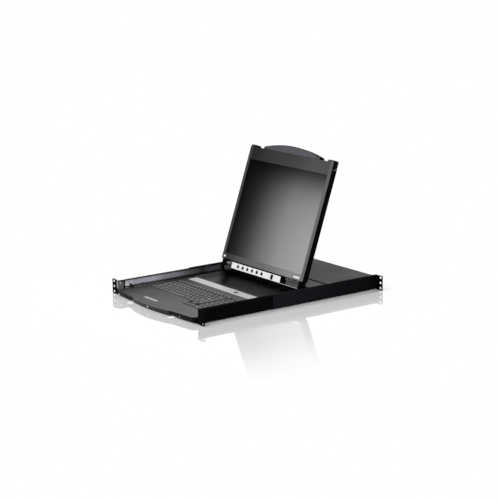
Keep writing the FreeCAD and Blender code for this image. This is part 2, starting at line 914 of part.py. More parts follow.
def front_bezel():
    """A moulding open underneath, with a finger gap at each end of its grip."""
    lap_half = slide_face - tray_sheet
    lap = box(-lap_half, lap_half, bezel_back, bezel_back + tray_sheet,
              tray_bottom + tray_front_flange, deck_top)
    port_room = usb_width / 2 + bezel_wall
    port_wall = box(usb_x - port_room, usb_x + port_room, grip_front, bezel_back, 0.0, deck_top)
    hollow = bezel_body(bezel_wall, 0.0, deck_top - bezel_wall).cut(port_wall)
    gap = box(grip_half_width, grip_half_width + finger_gap_width, grip_front - sheet, bezel_back,
              0.0, finger_gap_roof)
    window_z = (bezel_bottom + deck_top) / 2 + 2 * sheet
    window = box(-window_width / 2, window_width / 2, grip_front - sheet, bezel_back,
                 window_z - window_height / 2, window_z + window_height / 2)
    window = window.cut(bezel_body(window_sink, bezel_bottom, deck_top))
    body = bezel_body(0.0, bezel_bottom, deck_top).fuse(lap)
    return body.cut([hollow, gap, mirrored(gap), window, usb_block(grip_front, 0.0)]).removeSplitter()


def usb_port():
    mouth = usb_mouth()
    shell = usb_block(mouth, 0.0)
    room = usb_block(mouth - sheet, usb_shell)
    tongue = usb_block(mouth + sheet, usb_shell)
    tongue_side = usb_x - usb_width / 2 + usb_shell + usb_tongue
    beyond = box(tongue_side, usb_x + usb_width, grip_front, 0.0, 0.0, unit_height)
    return shell.cut(room).fuse(tongue.cut(beyond)).removeSplitter()


def release_lever():
    outer = slide_face - tray_sheet - lever_side_gap
    inner = outer - lever_thickness
    low = lever_pivot_z - lever_height / 2
    high = lever_pivot_z + lever_height / 2
    tail = lever_pivot_y + lever_height
    crank = lever_front + lever_pad_length
    profile = [
        (tail, low),
        (tail, high),
        (crank + lever_height, high),
        (crank, lever_pad_top - lever_height / 2),
        (crank, lever_pad_top),
        (lever_front, lever_pad_top),
        (lever_front, lever_pad_top - lever_height),
        (crank - lever_height, low),
    ]
    arm = prism_x(profile, inner, outer)
    pad = box(inner - lever_thickness / 2, outer, lever_front, crank,
              lever_pad_top - lever_height / 2, lever_pad_top)
    pin = rod_x(outer, slide_face - lever_pin_end_gap, lever_pivot_y, lever_pivot_z, lever_pin_radius)
    return arm.fuse([pad, pin]).removeSplitter()


# ------------------------------------------------------------------ display carriage

def carriage_beam():
    side = slide_face
    rear = slide_rear
    top = wall_top + carriage_lift
    front_web = box(-side, side, carriage_front, carriage_front + sheet, carriage_bottom, top)
    floor = box(-side, side, carriage_front, rear, carriage_bottom, carriage_bottom + sheet)
    cheek = box(side - sheet, side, carriage_front, rear, carriage_bottom, top)
    rail = box(-side, side, carriage_front, carriage_front + 10 * sheet, top - sheet, top)
    rear_rail = box(-side, side, rear - 10 * sheet, rear, top - sheet, top)
    return front_web.fuse([floor, cheek, mirrored(cheek), rail, rear_rail]).removeSplitter()


def carriage_top_panel():
    base = wall_top + carriage_lift
    return box(-cover_half, cover_half, carriage_front, carriage_rear, base, base + sheet)


def hinge_bracket(x0, x1):
    barrel = rod_x(x0, x1, hinge_y, hinge_height, knuckle_radius)
    web = box(x0, x1, hinge_y, carriage_front, hinge_height - knuckle_web / 2, hinge_height + knuckle_web / 2)
    foot = box(x0, x1, carriage_front - knuckle_foot_depth, carriage_front,
               carriage_bottom + sheet, wall_top - 2 * sheet)
    bore = rod_x(x0 - sheet, x1 + sheet, hinge_y, hinge_height, shaft_radius + shaft_running_gap)
    return barrel.fuse([web, foot]).cut(bore).removeSplitter()


def hinge_brackets():
    edge = bracket_barrel_end
    left = hinge_bracket(-edge, -edge + left_knuckle_width)
    right = hinge_bracket(edge - right_knuckle_width, edge)
    return group([left, right])


# ------------------------------------------------------------------ display, modelled flat

def display_outline(inset, depth):
    """The display seen face on: straight sides, corner humps and a bowed top."""
    half = display_half - inset
    bottom = display_frame_bottom + inset
    top = display_top - inset
    hump = top + corner_hump_rise
    hump_in = half - corner_hump_width
    bow = handle_half_width - inset
    step = top + shoulder_rise
    ramp = corner_hump_rise - shoulder_rise

    def at(x, reach):
        return Vector(x, hinge_y - reach, hinge_height + depth)

    def side(sign):
        return [at(sign * half, bottom), at(sign * half, hump - corner_radius),
                at(sign * (half - corner_radius), hump), at(sign * (hump_in + ramp), hump),
                at(sign * hump_in, step), at(sign * bow, step),
                at(sign * (bow - arch_end_slope), step + arch_end_rise)]

    right = side(1)
    left = side(-1)
    arc = Part.Arc(right[-1], at(0, top + handle_rise), left[-1]).toShape()
    edges = Part.makePolygon(right).Edges + [arc] + Part.makePolygon(list(reversed(left))).Edges
    edges.append(Part.makeLine(left[0], right[0]))
    return Part.Wire(Part.__sortEdges__(edges))


def display_slab(inset, depth0, depth1):
    face = Part.Face(display_outline(inset, depth0))
    return face.extrude(Vector(0, 0, depth1 - depth0))


def catch_block(grow, side):
    """The catch at a top corner, grown for its pocket."""
    outer = display_half + catch_proud
    inner = outer - catch_width - grow
    top = display_top + corner_hump_rise - sheet + grow
    bottom = top - catch_length - 2 * grow
    depth1 = display_back_depth - sheet + grow * 4
    depth0 = display_back_depth - sheet - catch_depth - grow
    block = flat(inner, outer + grow, bottom, top, depth0, depth1)
    return block if side > 0 else mirrored(block)


def catch_pocket(side):
    pocket = catch_block(catch_gap, side)
    slid = catch_block(catch_gap, side)
    slid.translate(Vector(-side * catch_travel, 0, 0))
    return pocket.fuse(slid)


def catch(side):
    block = catch_block(0.0, side)
    edges = [e for e in block.Edges if abs(abs(e.CenterOfMass.x) - display_half - catch_proud) < 0.01]
    return raised(block.makeFillet(sheet, edges))


def display_back_cover():
    shell = display_slab(0.0, bezel_back_depth, display_back_depth)
    hollow = display_slab(display_wall, bezel_back_depth - sheet, display_back_depth - display_wall)
    keep = flat(-display_half, display_half, display_top - catch_length, display_top + handle_rise + sheet,
                bezel_back_depth, display_back_depth)
    shell = shell.cut(hollow.cut(keep)).cut([catch_pocket(1), catch_pocket(-1)])
    return raised(shell.removeSplitter())


def display_bezel():
    frame = display_slab(0.0, display_front_depth, bezel_back_depth)
    window = flat(-screen_half, screen_half, screen_bottom, screen_top,
                  display_front_depth - sheet, panel_face_depth + sheet)
    seat = panel_box(panel_face_depth, bezel_back_depth + sheet)
    frame = frame.cut([window, seat])
    return raised(frame.removeSplitter())


def panel_box(depth0, depth1):
    return flat(-screen_half - panel_lap, screen_half + panel_lap, screen_bottom - panel_lap,
                screen_top + panel_lap, depth0, depth1)


def screen_panel():
    return raised(panel_box(panel_face_depth, panel_face_depth + panel_thickness))


def driver_board():
    back = panel_face_depth + panel_thickness
    middle = (screen_bottom + screen_top) / 2
    board = flat(-driver_board_width / 2, driver_board_width / 2, middle - driver_board_height / 2,
                 middle + driver_board_height / 2, back, back + driver_board_thickness)
    chips = []
    for column in (-1, 0, 1):
        x = column * driver_board_width / 4
        size = driver_board_height / 8
        chips.append(flat(x - size, x + size, middle - size, middle + size,
                          back + driver_board_thickness, back + driver_board_thickness + chip_height))
    return raised(board.fuse(chips).removeSplitter())


def display_handle():
    """The lens-shaped grip plate on the bowed top of the display."""
    half = lens_half_width
    chord_rise = shoulder_rise
    crown = display_top + handle_rise - lens_margin

    def at(x, reach):
        return Vector(x, hinge_y - reach, hinge_height + display_front_depth)

    left = at(-half, display_top + chord_rise)
    right = at(half, display_top + chord_rise)
    start = display_top + chord_rise + arch_end_rise
    ratio = (half / (handle_half_width - arch_end_slope)) ** 2
    end = start - lens_margin + (crown - start + lens_margin) * (1 - ratio)
    left_up = at(-half, end)
    right_up = at(half, end)
    arc = Part.Arc(left_up, at(0, crown), right_up).toShape()
    edges = [arc, Part.makeLine(right_up, right), Part.makeLine(right, left), Part.makeLine(left, left_up)]
    face = Part.Face(Part.Wire(edges))
    return raised(face.extrude(Vector(0, 0, -lens_thickness)))


def menu_button_x(index):
    return menu_button_first + index * menu_button_pitch


def strip_middle():
    return strip_bottom + strip_height / 2


def strip_button(x, width, height, grow=0.0, sink=0.0):
    """A button in the middle of the control strip, or its bay when grown and sunk."""
    front = display_front_depth - menu_button_proud
    return flat(x - width / 2 - grow, x + width / 2 + grow, strip_middle() - height / 2 - grow,
                strip_middle() + height / 2 + grow, front, front + menu_button_depth + sink)


def button_bays():
    sink = menu_button_travel + menu_button_gap
    bays = [strip_button(menu_button_x(index), menu_button_width, menu_button_height, menu_button_gap, sink)
            for index in range(menu_button_count)]
    bays.append(strip_button(power_button_x, power_button_width, power_button_height, menu_button_gap, sink))
    return bays


def control_strip():
    plate = flat(strip_left, strip_right, strip_bottom, strip_bottom + strip_height,
                 display_front_depth, display_front_depth + strip_plate)
    return raised(plate.cut(button_bays()))


def hinge_cover():
    """The rounded cover over the right hinge, drawn in section and wrapped under the barrel."""
    outer = -display_front_depth - hinge_cover_set_back
    inner = outer - hinge_cover_sheet
    wrap = math.radians(hinge_cover_wrap)
    top = display_frame_bottom - hinge_cover_gap
    left = bracket_barrel_end - right_knuckle_width - knuckle_gap

    def at(reach, depth):
        return Vector(left, hinge_y - reach, hinge_height + depth)

    def on_arc(radius, angle):
        return at(-radius * math.sin(angle), -radius * math.cos(angle))

    outside = Part.Arc(on_arc(outer, 0.0), on_arc(outer, wrap / 2), on_arc(outer, wrap)).toShape()
    inside = Part.Arc(on_arc(inner, wrap), on_arc(inner, wrap / 2), on_arc(inner, 0.0)).toShape()
    edges = [Part.makeLine(at(top, -outer), at(0.0, -outer)), outside,
             Part.makeLine(on_arc(outer, wrap), on_arc(inner, wrap)), inside,
             Part.makeLine(at(0.0, -inner), at(top, -inner)), Part.makeLine(at(top, -inner), at(top, -outer))]
    skin = Part.Face(Part.Wire(edges)).extrude(Vector(knuckle_outer - left, 0, 0))
    root = flat(left, knuckle_outer, display_frame_bottom - hinge_strap, top, -inner, 0.0)
    stay = flat(knuckle_inner, knuckle_outer, 0.0, top, -inner, 0.0)
    return skin.fuse([root, stay])


def display_lower_cover():
    """The housing behind the control strip, with the display's own hinge knuckles."""
    core = flat(strip_left, strip_right, -module_tail, display_frame_bottom,
                display_front_depth + strip_plate, display_back_depth)
    tie = flat(-knuckle_outer, knuckle_outer, display_frame_bottom - hinge_strap, display_frame_bottom,
               display_front_depth + strip_plate, display_back_depth)
    barrel = rod_x(knuckle_inner, knuckle_outer, hinge_y, hinge_height, knuckle_radius)
    cheek = flat(knuckle_inner, knuckle_outer, 0.0, display_frame_bottom, -knuckle_radius, knuckle_radius)
    knuckle = barrel.fuse(cheek)
    bore = rod_x(knuckle_inner - sheet, knuckle_outer - hinge_strap, hinge_y, hinge_height, shaft_radius)
    lip = flat(strip_right, knuckle_outer - lip_end_gap, lip_bottom, lip_bottom + lip_height,
               display_front_depth - lip_proud, display_front_depth + lip_thickness)
    cover = core.fuse([tie, knuckle, mirrored(knuckle), lip, hinge_cover()])
    return raised(cover.cut([bore, mirrored(bore)] + button_bays()).removeSplitter())


def hinge_shafts():
    outer = knuckle_outer - hinge_strap
    edge = bracket_barrel_end
    left = rod_x(-outer, -edge + left_knuckle_width - sheet, hinge_y, hinge_height, shaft_radius)
    right = rod_x(edge - right_knuckle_width + sheet, outer, hinge_y, hinge_height, shaft_radius)
    return raised(group([left, right]))


# ------------------------------------------------------------------ rear bay

def socket_centre():
    return inlet_x + socket_offset


def rocker_centre():
    return inlet_x + rocker_offset


def rocker_pivot_y():
    return pan_length + inlet_flange - rocker_depth / 2


def power_inlet():
    flange = box(inlet_x - inlet_flange_width / 2, inlet_x + inlet_flange_width / 2, pan_length,
                 pan_length + inlet_flange, inlet_z - inlet_flange_height / 2,
                 inlet_z + inlet_flange_height / 2)
    x0, x1, z0, z1 = inlet_outline()
    body = box(x0, x1, pan_length - socket_depth, pan_length, z0, z1)
    x = socket_centre()
    mouth = pan_length + inlet_flange
    floor = mouth - socket_depth + socket_wall
    socket = box(x - socket_width / 2, x + socket_width / 2, floor, mouth + sheet,
                 inlet_z - socket_height / 2, inlet_z + socket_height / 2)
    blades = []
    for step in (-1, 0, 1):
        blade_x = x + step * blade_spacing
        lift = 0.5 * blade_height if step == 0 else -0.5 * blade_height
        blades.append(box(blade_x - blade_width / 2, blade_x + blade_width / 2, floor, floor + blade_length,
                          inlet_z + lift - blade_height / 2, inlet_z + lift + blade_height / 2))
    well_x = rocker_width / 2 + rocker_gap
    well_z = rocker_height / 2 + rocker_gap
    well = box(rocker_centre() - well_x, rocker_centre() + well_x,
               mouth - rocker_depth - 3 * rocker_gap - sheet, mouth + sheet,
               inlet_z - well_z, inlet_z + well_z)
    pin = rod_x(rocker_centre() - well_x - sheet, rocker_centre() + well_x + sheet, rocker_pivot_y(), inlet_z,
                rocker_pin_radius + lever_pin_gap)
    return flange.fuse(body).cut([socket, well, pin]).fuse(blades).removeSplitter()


def power_rocker():
    y = rocker_pivot_y()
    tall = rocker_height / 2 - rocker_gap
    rise = tall * math.tan(math.radians(rocker_tilt))
    face = y + rocker_depth / 2
    profile = [
        (face - rise / 2, inlet_z),
        (face + rise / 2, inlet_z + tall),
        (y, inlet_z + tall),
        (y - rocker_depth / 3, inlet_z),
        (y, inlet_z - tall),
        (face + rise / 2, inlet_z - tall),
    ]
    x = rocker_centre()
    cap = prism_x(profile, x - rocker_width / 2, x + rocker_width / 2)
    reach = rocker_width / 2 + rocker_gap + 0.8 * sheet
    pin = rod_x(x - reach, x + reach, y, inlet_z, rocker_pin_radius)
    rocker = cap.fuse(pin).removeSplitter()
    rocker.rotate(Vector(x, y, inlet_z), Vector(1, 0, 0), rocker_tilt)
    return rocker


def console_port(x):
    wide = port_shell_width / 2
    narrow = wide - 2 * usb_tongue
    z0 = port_z - port_shell_height / 2
    z1 = port_z + port_shell_height / 2
    tip = pan_length + port_shell_reach
    inside = pan_length - sheet
    shell = prism_y([(x - narrow, z0), (x + narrow, z0), (x + wide, z1), (x - wide, z1)], inside, tip)
    flange = box(x - port_flange_width / 2, x + port_flange_width / 2, inside - port_flange, inside,
                 port_z - port_flange_height / 2, port_z + port_flange_height / 2)
    foot_top = board_height + board_thickness
    body = box(x - wide, x + wide, inside - port_body_length, inside - port_flange, foot_top, z1)
    return shell.fuse([flange, body] + jack_screws(x, inside)).removeSplitter()


def console_ports():
    return group([console_port(port_x(index)) for index in range(port_count)])


def board_with_parts(x0, x1, y0, y1, blocks):
    """A circuit board on four standoffs; a block's place and size are shares of the board."""
    top = board_height + board_thickness
    long = x1 - x0
    wide = y1 - y0
    board = box(x0, x1, y0, y1, board_height, top)
    parts = []
    for x in (x0 + standoff_inset, x1 - standoff_inset):
        for y in (y0 + standoff_inset, y1 - standoff_inset):
            parts.append(faceted_rod(Vector(x, y, sheet), Vector(0, 0, 1), board_height - sheet,
                                     standoff_radius, 6))
    for along, across, width, depth, height in blocks:
        left = x0 + (along - width / 2) * long
        near = y0 + (across - depth / 2) * wide
        parts.append(box(left, left + width * long, near, near + depth * wide,
                         top, top + height * component_height))
    return board.fuse(parts).removeSplitter()


def control_board():
    y1 = pan_length - 2 * sheet
    main_chip = (0.3, 0.4, 0.12, 0.27, 0.11)
    video_chip = (0.55, 0.35, 0.085, 0.19, 0.09)
    memory_chip = (0.75, 0.5, 0.05, 0.17, 0.09)
    tray_connector = (0.12, 0.3, 0.06, 0.1, 0.4)
    display_connector = (0.9, 0.3, 0.07, 0.08, 0.36)
    chips = [main_chip, video_chip, memory_chip, tray_connector, display_connector]
    return board_with_parts(control_board_left, control_board_right, y1 - control_board_length, y1, chips)


def power_supply():
    y1 = pan_length - supply_gap
    transformer = (0.3, 0.6, 0.27, 0.29, 0.91)
    heat_sink = (0.65, 0.3, 0.14, 0.31, 1.0)
    capacitor = (0.15, 0.2, 0.15, 0.19, 0.82)
    cooling_plate = (0.85, 0.7, 0.045, 0.5, 0.82)
    blocks = [transformer, heat_sink, capacitor, cooling_plate]
    return board_with_parts(supply_left, supply_right, y1 - supply_length, y1, blocks)


# ------------------------------------------------------------------ build

def main():
    os.makedirs("parts", exist_ok=True)
    ear = front_ear()
    bracket = rear_bracket()
    display_outer = outer_slide(display_slide_bottom, display_slide_height)
    keyboard_outer = outer_slide(keyboard_slide_bottom, keyboard_slide_height)
    display_inner = display_inner_slide()
    lever = release_lever()
    under_screws = [bracket_screw(x, y) for x, y in bracket_screw_places()]

    save(base_pan(), "base_pan")
    save(rear_cover(), "rear_cover")
    save(rear_panel(), "rear_panel")
    save(ear, "front_ear_right")
    save(mirrored(ear), "front_ear_left")
    save(display_outer, "display_outer_slide_right")
    save(mirrored(display_outer), "display_outer_slide_left")
    save(keyboard_outer, "keyboard_outer_slide_right")
    save(mirrored(keyboard_outer), "keyboard_outer_slide_left")
    save(power_inlet(), "power_inlet")
    save(console_ports(), "console_ports")
    save(control_board(), "control_board")
    save(power_supply(), "power_supply")
    save(group([cover_screw(x, y) for x, y in cover_screw_places()]), "cover_screws")
    save(ground_screw(), "ground_screw")
    save(group(under_screws + [mirrored(screw) for screw in under_screws]), "bracket_screws")
    save(power_rocker(), "power_rocker")
    save(bracket, "rear_bracket_right")
    save(mirrored(bracket), "rear_bracket_left")

    save(both_sides(middle_slide(keyboard_slide_bottom, keyboard_slide_height)), "keyboard_middle_slides")
    save(both_sides(middle_slide(display_slide_bottom, display_slide_height)), "display_middle_slides")

    save(both_sides(inner_slide(keyboard_slide_bottom, keyboard_slide_height)), "keyboard_inner_slides")
    save(keyboard_tray(), "keyboard_tray")
    save(keyboard_deck(), "keyboard_deck")
    save(front_bezel(), "front_bezel")
    save(usb_port(), "usb_port")
    save(status_strip(), "status_strip")
    save(status_button(), "status_button")
    save(touchpad(), "touchpad")
    save(touchpad_button(-1), "touchpad_button_left")
    save(touchpad_button(1), "touchpad_button_right")
    save(function_keys(), "function_keys")
    save(main_keys(), "main_keys")
    save(space_bar(), "space_bar")
    save(cursor_keys(), "cursor_keys")
    save(number_pad(), "number_pad")
    save(lever, "release_lever_right")
    save(mirrored(lever), "release_lever_left")

    save(display_inner, "display_inner_slide_right")
    save(mirrored(display_inner), "display_inner_slide_left")
    save(carriage_beam(), "carriage_beam")
    save(carriage_top_panel(), "carriage_top_panel")
    save(hinge_brackets(), "hinge_brackets")

    save(display_back_cover(), "display_back_cover")
    save(display_bezel(), "display_bezel")
    save(screen_panel(), "screen_panel")
    save(driver_board(), "driver_board")
    save(display_handle(), "display_handle")
    save(control_strip(), "control_strip")
    save(display_lower_cover(), "display_lower_cover")
    save(hinge_shafts(), "hinge_shafts")
    save(catch(1), "catch_right")
    save(catch(-1), "catch_left")
    for index in range(menu_button_count):
        button = strip_button(menu_button_x(index), menu_button_width, menu_button_height)
        save(raised(button), "menu_button_" + str(index + 1))
    power_button = strip_button(power_button_x, power_button_width, power_button_height)
    save(raised(power_button), "display_power_button")


main()
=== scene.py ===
import json
import math
import bpy
import bmesh
from mathutils import Matrix, Vector

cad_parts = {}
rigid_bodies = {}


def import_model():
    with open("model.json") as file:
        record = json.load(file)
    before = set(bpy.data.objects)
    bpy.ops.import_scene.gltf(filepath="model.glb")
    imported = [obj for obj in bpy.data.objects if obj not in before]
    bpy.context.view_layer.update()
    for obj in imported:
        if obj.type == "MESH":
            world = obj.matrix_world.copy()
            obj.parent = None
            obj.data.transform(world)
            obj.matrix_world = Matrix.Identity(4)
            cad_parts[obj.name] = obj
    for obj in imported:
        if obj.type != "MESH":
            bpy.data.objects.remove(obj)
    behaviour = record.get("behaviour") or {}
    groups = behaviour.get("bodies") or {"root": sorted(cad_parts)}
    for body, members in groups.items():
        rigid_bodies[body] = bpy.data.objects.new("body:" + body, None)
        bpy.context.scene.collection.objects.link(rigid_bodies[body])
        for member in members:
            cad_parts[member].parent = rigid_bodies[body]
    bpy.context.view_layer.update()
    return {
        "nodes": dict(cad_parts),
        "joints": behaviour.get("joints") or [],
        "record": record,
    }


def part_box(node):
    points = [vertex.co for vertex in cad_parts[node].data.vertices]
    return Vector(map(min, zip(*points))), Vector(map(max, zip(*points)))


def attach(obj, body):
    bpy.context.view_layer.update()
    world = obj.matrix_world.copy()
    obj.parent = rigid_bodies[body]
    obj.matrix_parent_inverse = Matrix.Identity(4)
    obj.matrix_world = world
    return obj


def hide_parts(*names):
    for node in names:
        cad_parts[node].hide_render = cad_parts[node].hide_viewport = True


for leftOver in [thing for thing in bpy.data.objects if thing.name in ("Cube", "Light", "Camera")]:
    bpy.data.objects.remove(leftOver, do_unlink=True)

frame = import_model()
nodes = frame["nodes"]
joints = {joint["name"]: joint for joint in frame["joints"]}
bodyOf = {}
for bodyName, bodyNodes in frame["record"]["behaviour"]["bodies"].items():
    for nodeName in bodyNodes:
        bodyOf[nodeName] = bodyName

mm = 0.001
hingePoint = Vector(joints["display_hinge"]["pos_m"])
displayLean = math.radians(19)                      # how far the display leans back at rest
displayPlane = Matrix.Translation(hingePoint) @ Matrix.Rotation(math.radians(90) - displayLean, 4, "X")
toDisplay = displayPlane.inverted()                 # X across, Y out from the hinge, Z towards the user
displayFace = 10.4 * mm                             # front of the display, from its hinge line
acrossX, alongY, upZ = (1, 0, 0), (0, 1, 0), (0, 0, 1)


# the camera comes first, because everything else is judged through it

cameraLook = {
    "place": (3.5164, -2.2584, 1.1175),
    "azimuth": 53.60,      # degrees round from straight ahead, towards the right
    "elevation": 12.78,
    "roll": -0.44,
    "lens": 107.8,
    "sensor": 36.0,
    "farthest": 60,
}


def makeCamera(look):
    turn = math.radians(look["azimuth"])
    lift = math.radians(look["elevation"])
    lean = math.radians(look["roll"])
    back = Vector((math.sin(turn) * math.cos(lift), -math.cos(turn) * math.cos(lift), math.sin(lift)))
    right = Vector((math.cos(turn), math.sin(turn), 0))
    up = back.cross(right)
    camX = right * math.cos(lean) + up * math.sin(lean)
    camY = up * math.cos(lean) - right * math.sin(lean)
    data = bpy.data.cameras.new("consoleCamera")
    data.lens = look["lens"]
    data.sensor_width = look["sensor"]
    data.clip_end = look["farthest"]
    camera = bpy.data.objects.new("consoleCamera", data)
    bpy.context.collection.objects.link(camera)
    rows = Matrix((camX, camY, back)).transposed()
    camera.matrix_world = Matrix.Translation(look["place"]) @ rows.to_4x4()
    bpy.context.scene.camera = camera
    return camera


makeCamera(cameraLook)
bpy.context.scene.view_settings.view_transform = "Standard"
print("camera set")


# colours and material helpers

def tone(red, green=None, blue=None):
    # an everyday 0 to 255 colour as the linear values that shaders want
    if green is None:
        green, blue = red, red
    linear = []
    for part in (red, green, blue):
        share = part / 255
        linear.append(share / 12.92 if share <= 0.04045 else ((share + 0.055) / 1.055) ** 2.4)
    return (linear[0], linear[1], linear[2], 1.0)


def grey(share):
    return (share, share, share, 1)


def greys(stops):
    # plain shares as the grey stops of a ramp
    return [(place, grey(share)) for place, share in stops]


def shade(colour, factor):
    return (min(colour[0] * factor, 1), min(colour[1] * factor, 1), min(colour[2] * factor, 1), 1)


def newMaterial(name):
    material = bpy.data.materials.new(name)
    material.use_nodes = True
    tree = material.node_tree
    shader = next(node for node in tree.nodes if node.type == "BSDF_PRINCIPLED")
    return material, tree, shader


def objectPoint(tree, scale):
    source = tree.nodes.new("ShaderNodeTexCoord")
    mapping = tree.nodes.new("ShaderNodeMapping")
    mapping.inputs["Scale"].default_value = scale
    tree.links.new(source.outputs["Object"], mapping.inputs["Vector"])
    return mapping.outputs["Vector"]


def noiseAt(tree, point, scale, detail=2.0, roughness=0.5):
    noise = tree.nodes.new("ShaderNodeTexNoise")
    noise.inputs["Scale"].default_value = scale
    noise.inputs["Detail"].default_value = detail
    noise.inputs["Roughness"].default_value = roughness
    tree.links.new(point, noise.inputs["Vector"])
    return noise.outputs["Fac"]


def rampOf(tree, value, stops):
    ramp = tree.nodes.new("ShaderNodeValToRGB")
    elements = ramp.color_ramp.elements
    while len(elements) > 1:
        elements.remove(elements[-1])
    elements[0].position = stops[0][0]
    elements[0].color = stops[0][1]
    for place, colour in stops[1:]:
        element = elements.new(place)
        element.color = colour
    tree.links.new(value, ramp.inputs["Fac"])
    return ramp.outputs["Color"]


def spreadOf(tree, value, low, high, start=0.3, end=0.7):
    spread = tree.nodes.new("ShaderNodeMapRange")
    spread.inputs["From Min"].default_value = start
    spread.inputs["From Max"].default_value = end
    spread.inputs["To Min"].default_value = low
    spread.inputs["To Max"].default_value = high
    tree.links.new(value, spread.inputs["Value"])
    return spread.outputs["Result"]


def lineRamp(tree, value, stops):
    # a ramp whose stops are given in metres along the value
    low, high = stops[0][0], stops[-1][0]
    along = spreadOf(tree, value, 0.0, 1.0, low, high)
    return rampOf(tree, along, [((place - low) / (high - low), colour) for place, colour in stops])


def multiplied(tree, first, second):
    product = tree.nodes.new("ShaderNodeMix")
    product.data_type = "RGBA"
    product.blend_type = "MULTIPLY"
    product.inputs["Factor"].default_value = 1.0
    sides = [socket for socket in product.inputs if socket.type == "RGBA"]
    tree.links.new(first, sides[0])
    tree.links.new(second, sides[1])
    return next(socket for socket in product.outputs if socket.type == "RGBA")


def joined(tree, operation, first, second):
    step = tree.nodes.new("ShaderNodeMath")
    step.operation = operation
    tree.links.new(first, step.inputs[0])
    tree.links.new(second, step.inputs[1])
    return step.outputs[0]


def measured(tree, operation, value, other=None):
    # one vector sum, with a fixed vector where it takes two
    step = tree.nodes.new("ShaderNodeVectorMath")
    step.operation = operation
    tree.links.new(value, step.inputs[0])
    if other is not None:
        step.inputs[1].default_value = other
    return step


def along(tree, direction):
    # how far a point lies in a direction, in metres
    source = tree.nodes.new("ShaderNodeTexCoord")
    return measured(tree, "DOT_PRODUCT", source.outputs["Object"], direction).outputs["Value"]


def fadedBy(tree, colour, paintedLight):
    # painted light and shade: the colour grows darker or lighter from one end of the piece to the other,
    # standing in for how light falls on it
    for direction, stops in paintedLight:
        colour = multiplied(tree, colour, lineRamp(tree, along(tree, direction), greys(stops)))
    return colour


def bumpFrom(tree, shader, height, strength, distance):
    bump = tree.nodes.new("ShaderNodeBump")
    bump.inputs["Strength"].default_value = strength
    bump.inputs["Distance"].default_value = distance
    tree.links.new(height, bump.inputs["Height"])
    tree.links.new(bump.outputs["Normal"], shader.inputs["Normal"])
    return bump


finishBase = {                 # what a surface has unless its own values say otherwise
    "stretch": (1, 1, 1), "patchScale": 9, "roughSwing": 0.05, "paintedLight": [],
    "metallic": 0.0, "specular": 0.3, "coat": 0.0, "coatRoughness": 0.1, "glow": 0.0,
    "grain": 0.0, "grainScale": 900, "grainDepth": 0.2 * mm,
}


def finish(name, values):
    # one surface: a mottled colour with painted light and shade along it, an uneven polish and a fine grain
    look = {**finishBase, **values}
    material, tree, shader = newMaterial(name)
    point = objectPoint(tree, look["stretch"])
    mottle = noiseAt(tree, point, look["mottleScale"], 3.0)
    darker, lighter = shade(look["colour"], 1 - look["mottle"]), shade(look["colour"], 1 + look["mottle"])
    base = fadedBy(tree, rampOf(tree, mottle, [(0.3, darker), (0.7, lighter)]), look["paintedLight"])
    tree.links.new(base, shader.inputs["Base Color"])
    patch = noiseAt(tree, point, look["patchScale"])
    smoothest = max(look["roughness"] - look["roughSwing"], 0.02)
    polish = spreadOf(tree, patch, smoothest, look["roughness"] + look["roughSwing"])
    tree.links.new(polish, shader.inputs["Roughness"])
    shader.inputs["Metallic"].default_value = look["metallic"]
    shader.inputs["Specular IOR Level"].default_value = look["specular"]
    shader.inputs["Coat Weight"].default_value = look["coat"]
    shader.inputs["Coat Roughness"].default_value = look["coatRoughness"]
    if look["glow"] > 0:
        shader.inputs["Emission Color"].default_value = look["colour"]
        shader.inputs["Emission Strength"].default_value = look["glow"]
    if look["grain"] > 0:
        grain = noiseAt(tree, point, look["grainScale"], 2.0, 0.6)
        bumpFrom(tree, shader, grain, look["grain"], look["grainDepth"])
    return material


# finishes

chassisPaint = finish("chassisPaint", {
    "colour": tone(6, 6, 9), "mottle": 0.25, "mottleScale": 300,
    "roughness": 0.55, "specular": 0.012, "grain": 0.35, "grainScale": 1400})
# painted shade: darker towards the rear
bracketPaint = finish("bracketPaint", {
    "colour": tone(23, 23, 28), "mottle": 0.2, "mottleScale": 300,
    "roughness": 0.55, "specular": 0.015, "grain": 0.35, "grainScale": 1400,
    "paintedLight": [(alongY, [(0.3, 1.0), (0.4, 0.85), (0.5, 0.55), (0.66, 0.3)])]})
earSteel = finish("earSteel", {            # inside of the folds behind the ears
    "colour": tone(112, 112, 114), "mottle": 0.25, "mottleScale": 250,
    "roughness": 0.5, "specular": 0.2, "grain": 0.3, "grainScale": 1000})
paintedEdgeHighlight = finish("paintedEdgeHighlight", {          # painted highlight: a paler tone on the top folds, where light catches the rounded edge
    "colour": tone(70, 70, 74), "mottle": 0.3, "mottleScale": 400,
    "roughness": 0.4, "specular": 0.3, "grain": 0.2, "grainScale": 1400})
# painted shade: darker towards the rear
coverPaint = finish("coverPaint", {
    "colour": tone(92, 92, 93), "mottle": 0.22, "mottleScale": 700,
    "roughness": 0.6, "specular": 0.1, "grain": 0.6, "grainScale": 1000,
    "paintedLight": [(alongY, [(0.38, 1.0), (0.44, 1.0), (0.5, 0.72), (0.66, 0.66)])]})
# painted shade and reflection: darker towards the right wall and in a diagonal band across the left
trayPaint = finish("trayPaint", {
    "colour": tone(96, 96, 98), "mottle": 0.12, "mottleScale": 90,
    "roughness": 0.28, "specular": 0.2, "grain": 0.12, "grainScale": 1200,
    "paintedLight": [(acrossX, [(-0.2, 1.0), (0.04, 1.0), (0.08, 0.86), (0.1, 0.7), (0.13, 0.12), (0.2, 0.1)]),
              ((1, 1, 0), [(0.1, 1.0), (0.158, 1.0), (0.172, 0.55), (0.19, 0.06), (0.204, 0.05),
                           (0.222, 0.24), (0.26, 0.3), (0.5, 0.34)])]})
